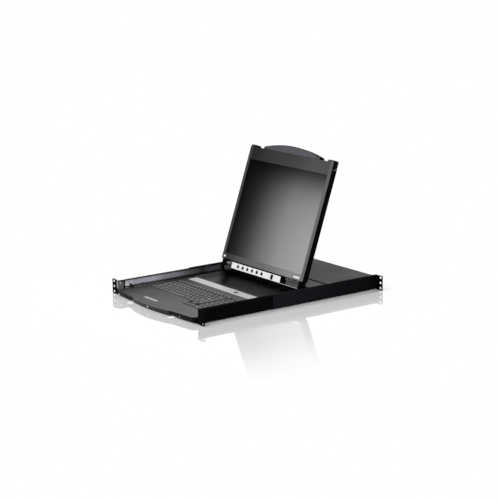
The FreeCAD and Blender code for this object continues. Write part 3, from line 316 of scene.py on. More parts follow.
# painted shade: darker towards the rear, in the display's shadow
railSteel = finish("railSteel", {
    "colour": tone(236, 237, 240), "mottle": 0.06, "mottleScale": 60, "stretch": (30, 1, 30),
    "roughness": 0.34, "metallic": 0.1, "specular": 0.4, "grain": 0.15, "grainScale": 60,
    "paintedLight": [(alongY, [(0.02, 1.0), (0.16, 0.7), (0.22, 0.5), (0.28, 0.14), (0.46, 0.14)])]})
# painted light and shade: the near-white tone lifts the shaded inside of the chassis, and the web darkens
# towards the rear and into the grooves below and above it
railBlue = finish("railBlue", {
    "colour": tone(226, 229, 240), "mottle": 0.12, "mottleScale": 50, "stretch": (30, 1, 30),
    "roughness": 0.3, "metallic": 0.1, "specular": 0.4, "grain": 0.15, "grainScale": 55,
    "paintedLight": [(alongY, [(0.02, 1.0), (0.036, 1.0), (0.05, 0.72), (0.12, 0.85), (0.16, 0.5), (0.2, 0.42),
                       (0.24, 0.2), (0.28, 0.12), (0.3, 0.04), (0.33, 0.14), (0.46, 0.1)]),
              (upZ, [(0.0225, 0.2), (0.0255, 0.7), (0.0275, 1.0), (0.037, 1.0), (0.0395, 0.6)])]})
# painted light and shade: the near-white tone lifts the shaded lip, which darkens towards the rear and into
# the grooves above and below it
lowerRail = finish("lowerRail", {
    "colour": tone(250, 251, 253), "mottle": 0.1, "mottleScale": 60, "stretch": (30, 1, 30),
    "roughness": 0.34, "metallic": 0.1, "specular": 0.3, "grain": 0.15, "grainScale": 60,
    "paintedLight": [(alongY, [(0.02, 1.0), (0.16, 0.95), (0.17, 0.35), (0.46, 0.1)]),
              (upZ, [(0.004, 0.2), (0.0095, 0.25), (0.0115, 1.0), (0.017, 1.0), (0.018, 0.06),
                     (0.0205, 0.012)])]})
hingeMetal = finish("hingeMetal", {
    "colour": tone(46, 46, 48), "mottle": 0.35, "mottleScale": 160,
    "roughness": 0.45, "specular": 0.15, "grain": 0.4, "grainScale": 900})
barrelMetal = finish("barrelMetal", {
    "colour": tone(150, 150, 154), "mottle": 0.1, "mottleScale": 250,
    "roughness": 0.36, "metallic": 0.3, "specular": 0.4, "grain": 0.2, "grainScale": 900})
sleevePaint = finish("sleevePaint", {
    "colour": tone(104, 104, 106), "mottle": 0.2, "mottleScale": 200,
    "roughness": 0.45, "specular": 0.2, "grain": 0.3, "grainScale": 900})
screwSteel = finish("screwSteel", {
    "colour": tone(120, 120, 126), "mottle": 0.12, "mottleScale": 500,
    "roughness": 0.35, "metallic": 1.0, "grain": 0.15, "grainScale": 900})
portSteel = finish("portSteel", {
    "colour": tone(170, 170, 174), "mottle": 0.08, "mottleScale": 400,
    "roughness": 0.28, "metallic": 1.0, "grain": 0.1, "grainScale": 800})
boardGreen = finish("boardGreen", {
    "colour": tone(24, 62, 44), "mottle": 0.3, "mottleScale": 220,
    "roughness": 0.4, "specular": 0.4, "grain": 0.2, "grainScale": 500})
blackPlastic = finish("blackPlastic", {
    "colour": tone(9, 9, 10), "mottle": 0.2, "mottleScale": 260,
    "roughness": 0.45, "specular": 0.04, "grain": 0.35, "grainScale": 1500})
# painted light and shade: darker towards the left, lighter towards the right
deckPlastic = finish("deckPlastic", {
    "colour": tone(102, 102, 101), "mottle": 0.1, "mottleScale": 600,
    "roughness": 0.52, "specular": 0.16, "grain": 0.5, "grainScale": 1300,
    "paintedLight": [(acrossX, [(-0.2, 0.2), (-0.1, 0.4), (0.0, 0.53), (0.1, 0.64), (0.2, 0.95)])]})
# painted shade: a dark grey for the wells between the keys and the undercut front of the grip, where shade
# falls
paintedShadePlastic = finish("paintedShadePlastic", {
    "colour": tone(34, 34, 35), "mottle": 0.1, "mottleScale": 500,
    "roughness": 0.5, "specular": 0.1, "grain": 0.4, "grainScale": 1300})
# painted light and shade: darker towards the left and towards the top
bezelPlastic = finish("bezelPlastic", {
    "colour": tone(150, 150, 151), "mottle": 0.06, "mottleScale": 500,
    "roughness": 0.5, "specular": 0.08, "grain": 0.3, "grainScale": 1400,
    "paintedLight": [(acrossX, [(-0.203, 0.34), (-0.191, 0.26), (-0.184, 0.08), (-0.16, 0.12), (-0.13, 0.21),
                         (-0.1, 0.3), (-0.05, 0.4), (0.0, 0.45), (0.05, 0.58), (0.1, 0.75), (0.13, 0.82),
                         (0.203, 0.82)]),
              (upZ, [(0.058, 1.0), (0.078, 1.0), (0.1, 0.75), (0.22, 0.6), (0.36, 0.25), (0.42, 0.22)])]})
# painted shade: darker towards the left and towards the top
rimPlastic = finish("rimPlastic", {
    "colour": tone(130, 130, 131), "mottle": 0.06, "mottleScale": 500,
    "roughness": 0.5, "specular": 0.08, "grain": 0.3, "grainScale": 1400,
    "paintedLight": [(acrossX, [(-0.203, 0.29), (-0.19, 0.22), (0.19, 0.6), (0.203, 0.6)]),
              (upZ, [(0.058, 1.0), (0.08, 0.9), (0.3, 0.84), (0.42, 0.58)])]})
displayPlastic = finish("displayPlastic", {
    "colour": tone(5, 5, 6), "mottle": 0.2, "mottleScale": 300,
    "roughness": 0.55, "specular": 0.015, "grain": 0.4, "grainScale": 1200})
backPlastic = finish("backPlastic", {
    "colour": tone(30, 30, 32), "mottle": 0.15, "mottleScale": 500,
    "roughness": 0.5, "specular": 0.25, "grain": 0.7, "grainScale": 900})
hingeCoverPaint = finish("hingeCoverPaint", {
    "colour": tone(72, 72, 74), "mottle": 0.6, "mottleScale": 160,
    "roughness": 0.45, "specular": 0.1, "grain": 0.5, "grainScale": 700})
lipPaint = finish("lipPaint", {
    "colour": tone(168, 168, 170), "mottle": 0.08, "mottleScale": 300,
    "roughness": 0.4, "specular": 0.3, "grain": 0.2, "grainScale": 900})
# painted shade: darker towards the left
handlePlastic = finish("handlePlastic", {
    "colour": tone(79, 79, 85), "mottle": 0.08, "mottleScale": 500,
    "roughness": 0.42, "specular": 0.1, "grain": 0.3, "grainScale": 1500,
    "paintedLight": [(acrossX, [(-0.13, 0.68), (0.13, 1.0)])]})
labelWhite = finish("labelWhite", {
    "colour": tone(240, 240, 241), "mottle": 0.015, "mottleScale": 200,
    "roughness": 0.4, "specular": 0.3, "grain": 0.1, "grainScale": 900})
stripSilver = finish("stripSilver", {
    "colour": tone(190, 190, 192), "mottle": 0.06, "mottleScale": 900,
    "roughness": 0.4, "specular": 0.4, "grain": 0.25, "grainScale": 1800})
buttonSilver = finish("buttonSilver", {
    "colour": tone(140, 140, 148), "mottle": 0.04, "mottleScale": 300,
    "roughness": 0.25, "specular": 0.5, "coat": 0.4, "grain": 0.05, "grainScale": 900})
buttonDark = finish("buttonDark", {
    "colour": tone(16, 16, 18), "mottle": 0.1, "mottleScale": 500,
    "roughness": 0.4, "specular": 0.1, "grain": 0.2, "grainScale": 1500})
keyPlastic = finish("keyPlastic", {
    "colour": tone(75, 75, 74), "mottle": 0.14, "mottleScale": 500,
    "roughness": 0.45, "specular": 0.3, "grain": 0.4, "grainScale": 1600})
keyInk = finish("keyInk", {
    "colour": tone(238, 238, 236), "mottle": 0.03, "mottleScale": 300,
    "roughness": 0.5, "specular": 0.2})
darkInk = finish("darkInk", {
    "colour": tone(34, 34, 36), "mottle": 0.05, "mottleScale": 300,
    "roughness": 0.5, "specular": 0.2})
paleInk = finish("paleInk", {
    "colour": tone(170, 170, 172), "mottle": 0.05, "mottleScale": 300,
    "roughness": 0.5, "specular": 0.2})
greenLamp = finish("greenLamp", {
    "colour": tone(70, 190, 90), "mottle": 0.05, "mottleScale": 300,
    "roughness": 0.25, "specular": 0.5, "glow": 0.4})
socketSteel = finish("socketSteel", {
    "colour": tone(205, 205, 208), "mottle": 0.06, "mottleScale": 400,
    "roughness": 0.4, "metallic": 0.1, "specular": 0.4, "grain": 0.1, "grainScale": 800})
paleLamp = finish("paleLamp", {
    "colour": tone(214, 216, 214), "mottle": 0.04, "mottleScale": 300,
    "roughness": 0.2, "specular": 0.5, "coat": 0.5})
padPlastic = finish("padPlastic", {
    "colour": tone(80, 80, 79), "mottle": 0.06, "mottleScale": 700,
    "roughness": 0.6, "specular": 0.12, "grain": 0.5, "grainScale": 1900})

# painted reflection: the screen's gradient stands in for the surroundings reflected in it
screenReflectionLook = {
    "across": [(-0.19, 25), (-0.18, 30), (-0.14, 50), (-0.10, 72), (-0.06, 96), (-0.02, 115), (0.02, 131),
               (0.06, 145), (0.10, 152), (0.14, 157), (0.19, 162)],     # painted reflection: tone along X at its foot
    "upward": [(52, 1.0), (100, 0.93), (160, 0.84), (220, 0.72), (250, 0.62), (280, 0.48), (310, 0.27),
               (335, 0.12), (350, 0.06)],                               # share by reach, in millimetres
    "corner": [(-0.32, 0.42), (-0.25, 0.5), (-0.21, 0.6), (-0.17, 0.74), (-0.13, 0.85), (-0.09, 0.95),
               (-0.05, 1.0), (0.2, 1.0)],                               # share towards its upper left
    "cornerSlope": 0.45,
    "roughness": (0.27, 0.37),
    "specular": 0.012,
}


def makeScreen(look):
    # a dark panel that is off, with a painted reflection: lighter towards its lower right
    material, tree, shader = newMaterial("screenGlass")
    source = tree.nodes.new("ShaderNodeTexCoord")
    split = tree.nodes.new("ShaderNodeSeparateXYZ")
    tree.links.new(source.outputs["Object"], split.inputs["Vector"])
    wide = lineRamp(tree, split.outputs["X"], [(place, tone(value)) for place, value in look["across"]])
    heights = [(hingePoint.z + reach * mm * math.cos(displayLean), share) for reach, share in look["upward"]]
    high = lineRamp(tree, split.outputs["Z"], greys(heights))
    slope = look["cornerSlope"] / math.cos(displayLean)
    corner = [(place - slope * hingePoint.z, share) for place, share in look["corner"]]
    dim = lineRamp(tree, along(tree, (1, 0, -slope)), greys(corner))
    tree.links.new(multiplied(tree, multiplied(tree, wide, high), dim), shader.inputs["Base Color"])
    sparkle = noiseAt(tree, source.outputs["Object"], 4000, 1.0)
    tree.links.new(spreadOf(tree, sparkle, *look["roughness"]), shader.inputs["Roughness"])
    shader.inputs["Specular IOR Level"].default_value = look["specular"]
    return material


screenGlass = makeScreen(screenReflectionLook)

nodeFinish = {
    "base_pan": chassisPaint, "rear_cover": coverPaint, "rear_panel": chassisPaint,
    "front_ear_left": chassisPaint, "front_ear_right": chassisPaint,
    "rear_bracket_left": bracketPaint, "rear_bracket_right": bracketPaint,
    "carriage_top_panel": coverPaint, "carriage_beam": chassisPaint, "hinge_brackets": hingeMetal,
    "display_outer_slide_left": railSteel, "display_outer_slide_right": railSteel,
    "keyboard_outer_slide_left": lowerRail, "keyboard_outer_slide_right": lowerRail,
    "display_middle_slides": railSteel, "keyboard_middle_slides": lowerRail,
    "display_inner_slide_left": railBlue, "display_inner_slide_right": railBlue,
    "keyboard_inner_slides": lowerRail, "power_inlet": blackPlastic, "console_ports": portSteel,
    "control_board": boardGreen, "power_supply": boardGreen, "driver_board": boardGreen,
    "cover_screws": screwSteel, "ground_screw": screwSteel, "bracket_screws": screwSteel,
    "power_rocker": blackPlastic, "keyboard_tray": trayPaint, "keyboard_deck": deckPlastic,
    "front_bezel": deckPlastic, "usb_port": socketSteel, "status_strip": stripSilver,
    "status_button": blackPlastic, "touchpad": padPlastic, "touchpad_button_left": buttonSilver,
    "touchpad_button_right": buttonSilver, "function_keys": keyPlastic, "main_keys": keyPlastic,
    "space_bar": keyPlastic, "cursor_keys": keyPlastic, "number_pad": keyPlastic,
    "release_lever_left": blackPlastic, "release_lever_right": blackPlastic,
    "display_back_cover": displayPlastic, "display_bezel": bezelPlastic, "screen_panel": screenGlass,
    "display_handle": handlePlastic, "control_strip": labelWhite, "display_lower_cover": displayPlastic,
    "hinge_shafts": screwSteel, "catch_left": blackPlastic, "catch_right": blackPlastic,
    "display_power_button": blackPlastic,
}
for number in range(1, 7):
    nodeFinish["menu_button_" + str(number)] = buttonDark
for nodeName, material in nodeFinish.items():
    for materialSlot in nodes[nodeName].material_slots:
        materialSlot.material = material
print("finishes on", len(nodeFinish), "nodes")


# shared modelling helpers

shellRules = {
    "weld": 0.002 * mm,
    "flat": math.radians(1),         # triangles as flat as this are joined again
    "corner": math.radians(35),      # outer edges sharper than this are rounded
    "smooth": math.radians(20),      # edges flatter than this are shaded smooth
}


def pieceFrom(bm, name, materials, body, replaced=()):
    # a finished mesh object that rides on its body
    mesh = bpy.data.meshes.new(name)
    bm.to_mesh(mesh)
    bm.free()
    for material in materials:
        mesh.materials.append(material)
    piece = bpy.data.objects.new(name, mesh)
    bpy.context.collection.objects.link(piece)
    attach(piece, body)
    if replaced:
        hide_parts(*replaced)
    return piece


def edgesOf(verts):
    # every edge at some vertices, in a steady order
    return list(dict.fromkeys(edge for vert in verts for edge in vert.link_edges))


def facesOf(verts):
    return list(dict.fromkeys(face for vert in verts for face in vert.link_faces))


def turned(degrees, axis="Z"):
    return Matrix.Rotation(math.radians(degrees), 3, axis)


def rounded(bm, edges, radius, segments=2, clamp=True):
    return bmesh.ops.bevel(bm, geom=edges, offset=radius, offset_type="OFFSET", affect="EDGES",
                           segments=segments, profile=0.5, material=-1, clamp_overlap=clamp)


def welded(nodeName):
    # the CAD mesh with its doubles merged
    bm = bmesh.new()
    bm.from_mesh(nodes[nodeName].data)
    bmesh.ops.remove_doubles(bm, verts=bm.verts, dist=shellRules["weld"])
    return bm


def mergedCopy(nodeName):
    # the same with its flat faces joined again
    bm = welded(nodeName)
    bmesh.ops.dissolve_limit(bm, angle_limit=shellRules["flat"], verts=bm.verts, edges=bm.edges)
    bmesh.ops.recalc_face_normals(bm, faces=bm.faces)
    return bm


def dressed(nodeName, materials, rounding, choose=None, cuts=(), segments=2, shortest=3.0):
    # the CAD solid again with its sharp outer edges rounded and a finish chosen for every face
    bm = mergedCopy(nodeName)
    edges = [edge for edge in bm.edges if len(edge.link_faces) == 2
             and edge.calc_length() > shortest * rounding
             and edge.calc_face_angle_signed(0) > shellRules["corner"]]
    rounded(bm, edges, rounding, segments)
    for point, normal in cuts:
        bmesh.ops.bisect_plane(bm, geom=bm.verts[:] + bm.edges[:] + bm.faces[:], dist=0.001 * mm,
                               plane_co=point, plane_no=normal)
    bm.normal_update()
    for face in bm.faces:
        face.smooth = True
        if choose:
            face.material_index = choose(face)
    for edge in bm.edges:
        edge.smooth = len(edge.link_faces) == 2 and edge.calc_face_angle(0) < shellRules["smooth"]
    return pieceFrom(bm, nodeName + ".shell", materials, bodyOf[nodeName], [nodeName])


def solidsOf(nodeName):
    # lowest and highest corner of every separate solid in a CAD node
    bm = welded(nodeName)
    waiting = dict.fromkeys(bm.verts)
    boxes = []
    while waiting:
        stack = [waiting.popitem()[0]]
        found = [stack[0]]
        while stack:
            for edge in stack.pop().link_edges:
                for vert in edge.verts:
                    if vert in waiting:
                        del waiting[vert]
                        stack.append(vert)
                        found.append(vert)
        low = Vector([min(vert.co[axis] for vert in found) for axis in range(3)])
        high = Vector([max(vert.co[axis] for vert in found) for axis in range(3)])
        boxes.append((low, high))
    bm.free()
    return boxes


def settled(bm, made, index, plane):
    # the finish of new faces, and their place if they are drawn in a plane of their own
    for face in facesOf(made):
        face.material_index = index
    if plane:
        bmesh.ops.transform(bm, matrix=plane, verts=made)
    return made


def block(bm, low, high, index=0, plane=None, rounding=0.0):
    # a block between two corners
    made = bmesh.ops.create_cube(bm, size=1.0)["verts"]
    bmesh.ops.scale(bm, vec=Vector(high) - Vector(low), verts=made)
    bmesh.ops.translate(bm, vec=(Vector(low) + Vector(high)) / 2, verts=made)
    if rounding:
        made = rounded(bm, edgesOf(made), rounding)["verts"]
    return settled(bm, made, index, plane)


def disc(bm, centre, radius, depth, index=0, plane=None, sides=24, turn=None, tip=None):
    # a flat round, or a triangle when it has three sides, its axis along Z
    made = bmesh.ops.create_cone(bm, cap_ends=True, cap_tris=False, segments=sides, radius1=radius,
                                 radius2=radius if tip is None else tip, depth=depth)["verts"]
    if turn:
        bmesh.ops.rotate(bm, cent=(0, 0, 0), matrix=turn, verts=made)
    bmesh.ops.translate(bm, vec=Vector(centre), verts=made)
    return settled(bm, made, index, plane)


def ring(bm, centre, outer, inner, depth, index=0, plane=None, sides=32, turn=None):
    # a washer, its axis along Z
    made = bmesh.ops.create_circle(bm, cap_ends=False, segments=sides, radius=outer)["verts"]
    made = made + bmesh.ops.create_circle(bm, cap_ends=False, segments=sides, radius=inner)["verts"]
    faces = bmesh.ops.bridge_loops(bm, edges=edgesOf(made))["faces"]
    grown = bmesh.ops.extrude_face_region(bm, geom=faces)["geom"]
    lifted = [item for item in grown if isinstance(item, bmesh.types.BMVert)]
    bmesh.ops.translate(bm, vec=(0, 0, depth), verts=lifted)
    made = made + lifted
    if turn:
        bmesh.ops.rotate(bm, cent=(0, 0, 0), matrix=turn, verts=made)
    bmesh.ops.translate(bm, vec=Vector(centre), verts=made)
    settled(bm, made, index, plane)
    bmesh.ops.recalc_face_normals(bm, faces=facesOf(made))
    return made


def legendMesh(text, size, depth):
    # a word as a thin raised mesh, left end at the origin
    curve = bpy.data.curves.new("legend", "FONT")
    curve.body = text
    curve.size = size
    curve.extrude = depth
    curve.resolution_u = 2
    holder = bpy.data.objects.new("legend", curve)
    bpy.context.collection.objects.link(holder)
    depsgraph = bpy.context.evaluated_depsgraph_get()
    mesh = bpy.data.meshes.new_from_object(holder.evaluated_get(depsgraph))
    bpy.data.objects.remove(holder, do_unlink=True)
    bpy.data.curves.remove(curve)
    return mesh


def addLegend(bm, text, size, place, depth, index, centred=False):
    mesh = legendMesh(text, size, depth)
    shift = 0.0
    if centred:
        xs = [vert.co.x for vert in mesh.vertices]
        shift = -(min(xs) + max(xs)) / 2
    mesh.transform(Matrix.Translation(place) @ Matrix.Translation((shift, 0, 0)))
    for polygon in mesh.polygons:
        polygon.material_index = index
    bm.from_mesh(mesh)
    bpy.data.meshes.remove(mesh)


# sheet-metal parts and mouldings, with their folded and rounded edges

shellLook = {
    "fold": 0.35 * mm,       # sheet steel
    "mould": 0.9 * mm,       # plastic mouldings
    "seamShadow": 9 * mm,           # painted shadow: black band at the rear of the carriage panel, where the gap to the rear cover is shaded
    "earInside": 0.18,       # metres; faces turned inwards, farther out than this
    "highlightStart": 38 * mm,   # painted highlights lie above this
    "rim": 1.3 * mm,         # outer edge of the display
    "rimStart": 189.7 * mm,  # the screen opening's side
    "backArea": 0.001,       # square metres; only the broad face of the back is larger
    "wellTop": 17.6 * mm,    # faces of the deck below this lie between the keys
    "gripEnd": 97.2 * mm,    # half the width of the grip
    "small": 0.3 * mm,
    "catch": 2.4 * mm,       # the display's catches are thumb pieces
}
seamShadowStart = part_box("carriage_top_panel")[1].y - shellLook["seamShadow"]


def carriageFace(face):
    # painted shadow: the panel ends in a black band beside the rear cover, standing in for the shade in the
    # gap between them
    return 1 if face.calc_center_median().y > seamShadowStart else 0


def earFace(face):
    # the fold behind each ear is plain steel on its inner side
    return 1 if face.normal.x * face.calc_center_median().x < -shellLook["earInside"] else 0


def foldShine(face):
    # painted highlight: the paler tone goes only on the rounded top folds of the painted walls
    tilted = 0.2 < face.normal.z < 0.97 and abs(face.normal.x) > 0.2
    return 1 if tilted and face.calc_center_median().z > shellLook["highlightStart"] else 0


def frontOnly(face):
    # the display's front faces are grey, its side rims a little darker and everything behind them black
    if (toDisplay.to_3x3() @ face.normal).z < 0.6:
        return 1
    return 2 if abs(face.calc_center_median().x) > shellLook["rimStart"] else 0


def backOnly(face):
    # the broad back of the display has a coarser, slightly paler moulding than its rim
    facesBack = (toDisplay.to_3x3() @ face.normal).z < -0.9
    return 1 if facesBack and face.calc_area() > shellLook["backArea"] else 0


def deckFace(face):
    # painted shade: the wells between the keys are given a dark finish, where shade falls between the caps
    return 1 if face.calc_center_median().z < shellLook["wellTop"] and face.normal.z > 0.5 else 0


def bezelFace(face):
    # the drawer front is grey on top; its front faces carry painted shade, dark grey on the grip and black
    # on the shoulders
    if face.normal.z > 0.5:
        return 0
    return 1 if abs(face.calc_center_median().x) < shellLook["gripEnd"] else 2


dressed("rear_cover", [coverPaint], shellLook["fold"])
dressed("carriage_top_panel", [coverPaint, chassisPaint], shellLook["fold"], carriageFace,
        [((0, seamShadowStart, 0), alongY)])
for nodeName in ("front_ear_left", "front_ear_right"):
    dressed(nodeName, [nodeFinish[nodeName], earSteel], shellLook["fold"], earFace)
for nodeName in ("base_pan", "rear_bracket_left", "rear_bracket_right"):
    dressed(nodeName, [nodeFinish[nodeName], paintedEdgeHighlight], shellLook["fold"], foldShine)
dressed("display_bezel", [bezelPlastic, displayPlastic, rimPlastic], shellLook["rim"], frontOnly,
        [((side * shellLook["rimStart"], 0, 0), acrossX) for side in (-1, 1)])
dressed("display_back_cover", [displayPlastic, backPlastic], shellLook["rim"], backOnly)
dressed("display_handle", [handlePlastic], shellLook["small"])
dressed("keyboard_deck", [deckPlastic, paintedShadePlastic], shellLook["mould"], deckFace)
dressed("front_bezel", [deckPlastic, paintedShadePlastic, blackPlastic], shellLook["small"], bezelFace)

# values of the moulding below the screen, in the display's own plane
lowerLook = {
    "lipStart": 95 * mm,
    "lipLift": 0.1 * mm,                 # the pale ledge stands in front of the display's face
    "paint": (129.5 * mm, 187 * mm),     # across, mottled metal paint on the right hinge
    "paintFoot": 1.6 * mm,
    "paintBack": 6 * mm,
}


def lowerCoverFace(face):
    # the ledge is pale, the front of the right hinge has mottled metal paint and the rest is black
    middle = toDisplay @ face.calc_center_median()
    if middle.x > lowerLook["lipStart"] and middle.z > displayFace + lowerLook["lipLift"]:
        return 2
    left, right = lowerLook["paint"]
    isFront = middle.y > lowerLook["paintFoot"] and middle.z > lowerLook["paintBack"]
    return 1 if isFront and left < middle.x < right else 0


paintFoot = displayPlane @ Vector((0, lowerLook["paintFoot"], 0))
paintEdges = [((lowerLook["paint"][1], 0, 0), acrossX), (paintFoot, displayPlane.to_3x3() @ Vector(alongY))]
dressed("display_lower_cover", [displayPlastic, hingeCoverPaint, lipPaint], shellLook["small"],
        lowerCoverFace, paintEdges)
dressed("hinge_brackets", [hingeMetal], shellLook["small"])
for nodeName in ("touchpad_button_left", "touchpad_button_right", "power_rocker", "display_power_button",
                 "status_button", "control_strip", "status_strip"):
    dressed(nodeName, [nodeFinish[nodeName]], shellLook["small"])
for nodeName in ("catch_left", "catch_right"):
    dressed(nodeName, [nodeFinish[nodeName]], shellLook["catch"], segments=3, shortest=2.2)
print("shells rounded")


# keys, each a dished cap with a printed legend

keyLook = {
    "taper": 1.6 * mm,       # how far the sides lean in
    "edge": 0.55 * mm,       # rounding
    "dish": 0.35 * mm,
    "letter": 5.8 * mm,
    "word": 3.5 * mm,
    "arrow": 1.5 * mm,
    "ink": 0.05 * mm,
    "leftMargin": 2.0 * mm,
    "topMargin": 1.4 * mm,
    "capHeight": 0.72,       # height of a capital as a share of the letter's size
    "tallKey": 14.5 * mm,    # only keys deeper than this have a large letter
    "rowGap": 4 * mm,        # keys whose rear edges lie closer than this are in one row
}

legendRows = {
    "function_keys": [
        ["Esc", "F1", "F2", "F3", "F4", "F5", "F6", "F7", "F8", "F9", "F10", "F11", "F12", "Prt", "Brk"],
    ],
    "main_keys": [
        ["`", "1", "2", "3", "4", "5", "6", "7", "8", "9", "0", "-", "=", "Back"],
        ["Tab", "Q", "W", "E", "R", "T", "Y", "U", "I", "O", "P", "[", "]", "\\"],
        ["Caps", "A", "S", "D", "F", "G", "H", "J", "K", "L", ";", "'", "Enter"],
        ["Shift", "Z", "X", "C", "V", "B", "N", "M", ",", ".", "/", "Shift"],
        ["Ctrl", "Fn", "Opt", "Alt", "Alt", "Opt", "Menu", "Ctrl"],
    ],
    "space_bar": [[""]],
    "cursor_keys": [
        ["Ins", "Home", "PgUp", "Scr"],
        ["Del", "End", "PgDn", "Calc"],
        ["Cut", "Copy", "Find", "Undo"],
        ["up"],
        ["left", "down", "right"],
    ],
    "number_pad": [
        ["Num", "/", "*", "-"],
        ["7", "8", "9", "+"],
        ["4", "5", "6"],
        ["1", "2", "3", "Ent"],
        ["0", "."],
    ],
}
arrowTurn = {"up": 0, "left": 90, "down": 180, "right": -90}      # these keys have a triangle


def keyCap(bm, low, high, look):
    # a block, drawn in at the top, rounded and dished
    size = high - low
    middle = (high + low) / 2
    made = bmesh.ops.create_cube(bm, size=1.0)["verts"]
    bmesh.ops.scale(bm, vec=size, verts=made)
    bmesh.ops.translate(bm, vec=middle, verts=made)
    crown = [vert for vert in made if vert.co.z > middle.z]
    narrow = (1 - 2 * look["taper"] / size.x, 1 - 2 * look["taper"] / size.y, 1)
    bmesh.ops.scale(bm, vec=narrow, verts=crown, space=Matrix.Translation(-middle))
    cut = rounded(bm, edgesOf(crown), look["edge"])
    near = dict.fromkeys(list(cut["faces"]) + facesOf(cut["verts"]))
    top = [face for face in near if all(vert.co.z > high.z - 0.001 * mm for vert in face.verts)]
    bmesh.ops.inset_region(bm, faces=top, thickness=look["edge"], depth=0, use_even_offset=True)
    bmesh.ops.inset_region(bm, faces=top, thickness=1.6 * look["edge"], depth=0, use_even_offset=True)
    floor = list(dict.fromkeys(vert for face in top for vert in face.verts))
    bmesh.ops.translate(bm, vec=(0, 0, -look["dish"]), verts=floor)


def rowsOf(boxes, gap):
    # solids sorted into rows from the rear, each row from the left
    rows = []
    for low, high in sorted(boxes, key=lambda box: (-box[1].y, box[0].x)):
        for row in rows:
            if abs(row[0][1].y - high.y) < gap:
                row.append((low, high))
                break
        else:
            rows.append([(low, high)])
    return [sorted(row, key=lambda box: box[0].x) for row in rows]


def makeKeys(nodeName, look):
    bm = bmesh.new()
    rows = rowsOf(solidsOf(nodeName), look["rowGap"])
    for row in rows:
        for low, high in row:
            keyCap(bm, low, high, look)
    for row, words in zip(rows, legendRows[nodeName]):
        for (low, high), text in zip(row, words):
            isLetter = len(text) == 1 and high.y - low.y > look["tallKey"]
            size = look["letter"] if isLetter else look["word"]
            left = low.x + look["taper"] + look["leftMargin"]
            foot = high.y - look["taper"] - look["topMargin"] - look["capHeight"] * size
            place = Vector((left, foot, high.z - look["dish"] + look["ink"] / 2))
            if text in arrowTurn:
                middle = place + Vector((look["arrow"], look["arrow"], 0))
                disc(bm, middle, look["arrow"], look["ink"], 1, None, 3, turned(arrowTurn[text]))
            elif text:
                addLegend(bm, text, size, place, look["ink"], 1)
    finishes = [keyPlastic, keyInk]
    return pieceFrom(bm, nodeName + ".caps", finishes, bodyOf[nodeName], [nodeName])


for nodeName in legendRows:
    makeKeys(nodeName, keyLook)
print("keys and legends made")


# screen surround and control strip marks

menuButtons = ["menu_button_" + str(number) for number in range(1, 7)]
stripLook = {
    "ink": 0.08 * mm,
    "lampReach": 12.2 * mm,              # height of the buttons' middles on the display
    "iconLift": 6.6 * mm,                # above the middle of its button
    "iconSize": 2.2 * mm,
    "bar": (1.2 * mm, 0.3 * mm),         # step and half thickness of the bars of the list sign
    "triangles": [90, -90, 180, 0],      # less, more, up and down
    "menuTall": 2.5 * mm,                # half heights of the buttons
    "powerTall": 5.5 * mm,
    "surround": 1.5 * mm,                # black frame round each button
    "surroundGap": 0.35 * mm,
    "signAside": 13 * mm,                # power sign on one side of its button, lamp on the other
    "stroke": 0.4 * mm,
    "lamp": 1.5 * mm,
    "plates": [(-0.194, -0.184), (0.157, 0.184)],     # blank plates at the foot of the bezel
    "plateReach": (31 * mm, 36 * mm),
}


def makeMenuIcons(bm, look):
    # a list, four triangles and a ring above the six menu buttons
    size, ink = look["iconSize"], look["ink"]
    y = look["lampReach"] + look["iconLift"]
    for number, nodeName in enumerate(menuButtons):
        low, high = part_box(nodeName)
        x = (low.x + high.x) / 2
        if number == 0:
            for step in (-1, 0, 1):
                bar = y + step * look["bar"][0]
                half = look["bar"][1]
                block(bm, (x - size, bar - half, displayFace), (x + size, bar + half, displayFace + ink), 0,
                      displayPlane)
        elif number < 5:
            disc(bm, (x, y, displayFace + ink / 2), size, ink, 0, displayPlane, 3,
                 turned(look["triangles"][number - 1]))
        else:
            ring(bm, (x, y, displayFace), size, 0.65 * size, ink, 0, displayPlane, 20)


def makeSurround(bm, nodeName, tall, look):
    # a black frame round one button
    low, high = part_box(nodeName)
    x, y = (low.x + high.x) / 2, look["lampReach"]
    inX, inY = (high.x - low.x) / 2 + look["surroundGap"], tall + look["surroundGap"]
    outX, outY = inX + look["surround"], inY + look["surround"]
    sides = [((-outX, inY), (outX, outY)), ((-outX, -outY), (outX, -inY)),
             ((-outX, -inY), (-inX, inY)), ((inX, -inY), (outX, inY))]
    for (left, bottom), (right, top) in sides:
        block(bm, (x + left, y + bottom, displayFace), (x + right, y + top, displayFace + look["ink"]), 4,
              displayPlane)


def makeStripMarks(look):
    bm = bmesh.new()
    ink, size = look["ink"], look["iconSize"]
    makeMenuIcons(bm, look)
    for nodeName in menuButtons:
        makeSurround(bm, nodeName, look["menuTall"], look)
    makeSurround(bm, "display_power_button", look["powerTall"], look)
    low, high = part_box("display_power_button")
    y = look["lampReach"]
    sign = (low.x + high.x) / 2 - look["signAside"]
    lamp = (low.x + high.x) / 2 + look["signAside"]
    ring(bm, (sign, y, displayFace), size, 0.68 * size, ink, 1, displayPlane, 24)
    block(bm, (sign - look["stroke"], y, displayFace),
          (sign + look["stroke"], y + 1.2 * size, displayFace + 1.2 * ink), 1, displayPlane)
    disc(bm, (lamp, y, displayFace + ink / 2), look["lamp"], ink, 2, displayPlane, 20)
    bottom, top = look["plateReach"]
    for left, right in look["plates"]:
        block(bm, (left, bottom, displayFace), (right, top, displayFace + 2 * ink), 3, displayPlane, ink / 2)
    finishes = [darkInk, paleInk, greenLamp, labelWhite, buttonDark]
    return pieceFrom(bm, "controlStrip.marks", finishes, "display")


makeStripMarks(stripLook)


# hinge, catches and the back of the display

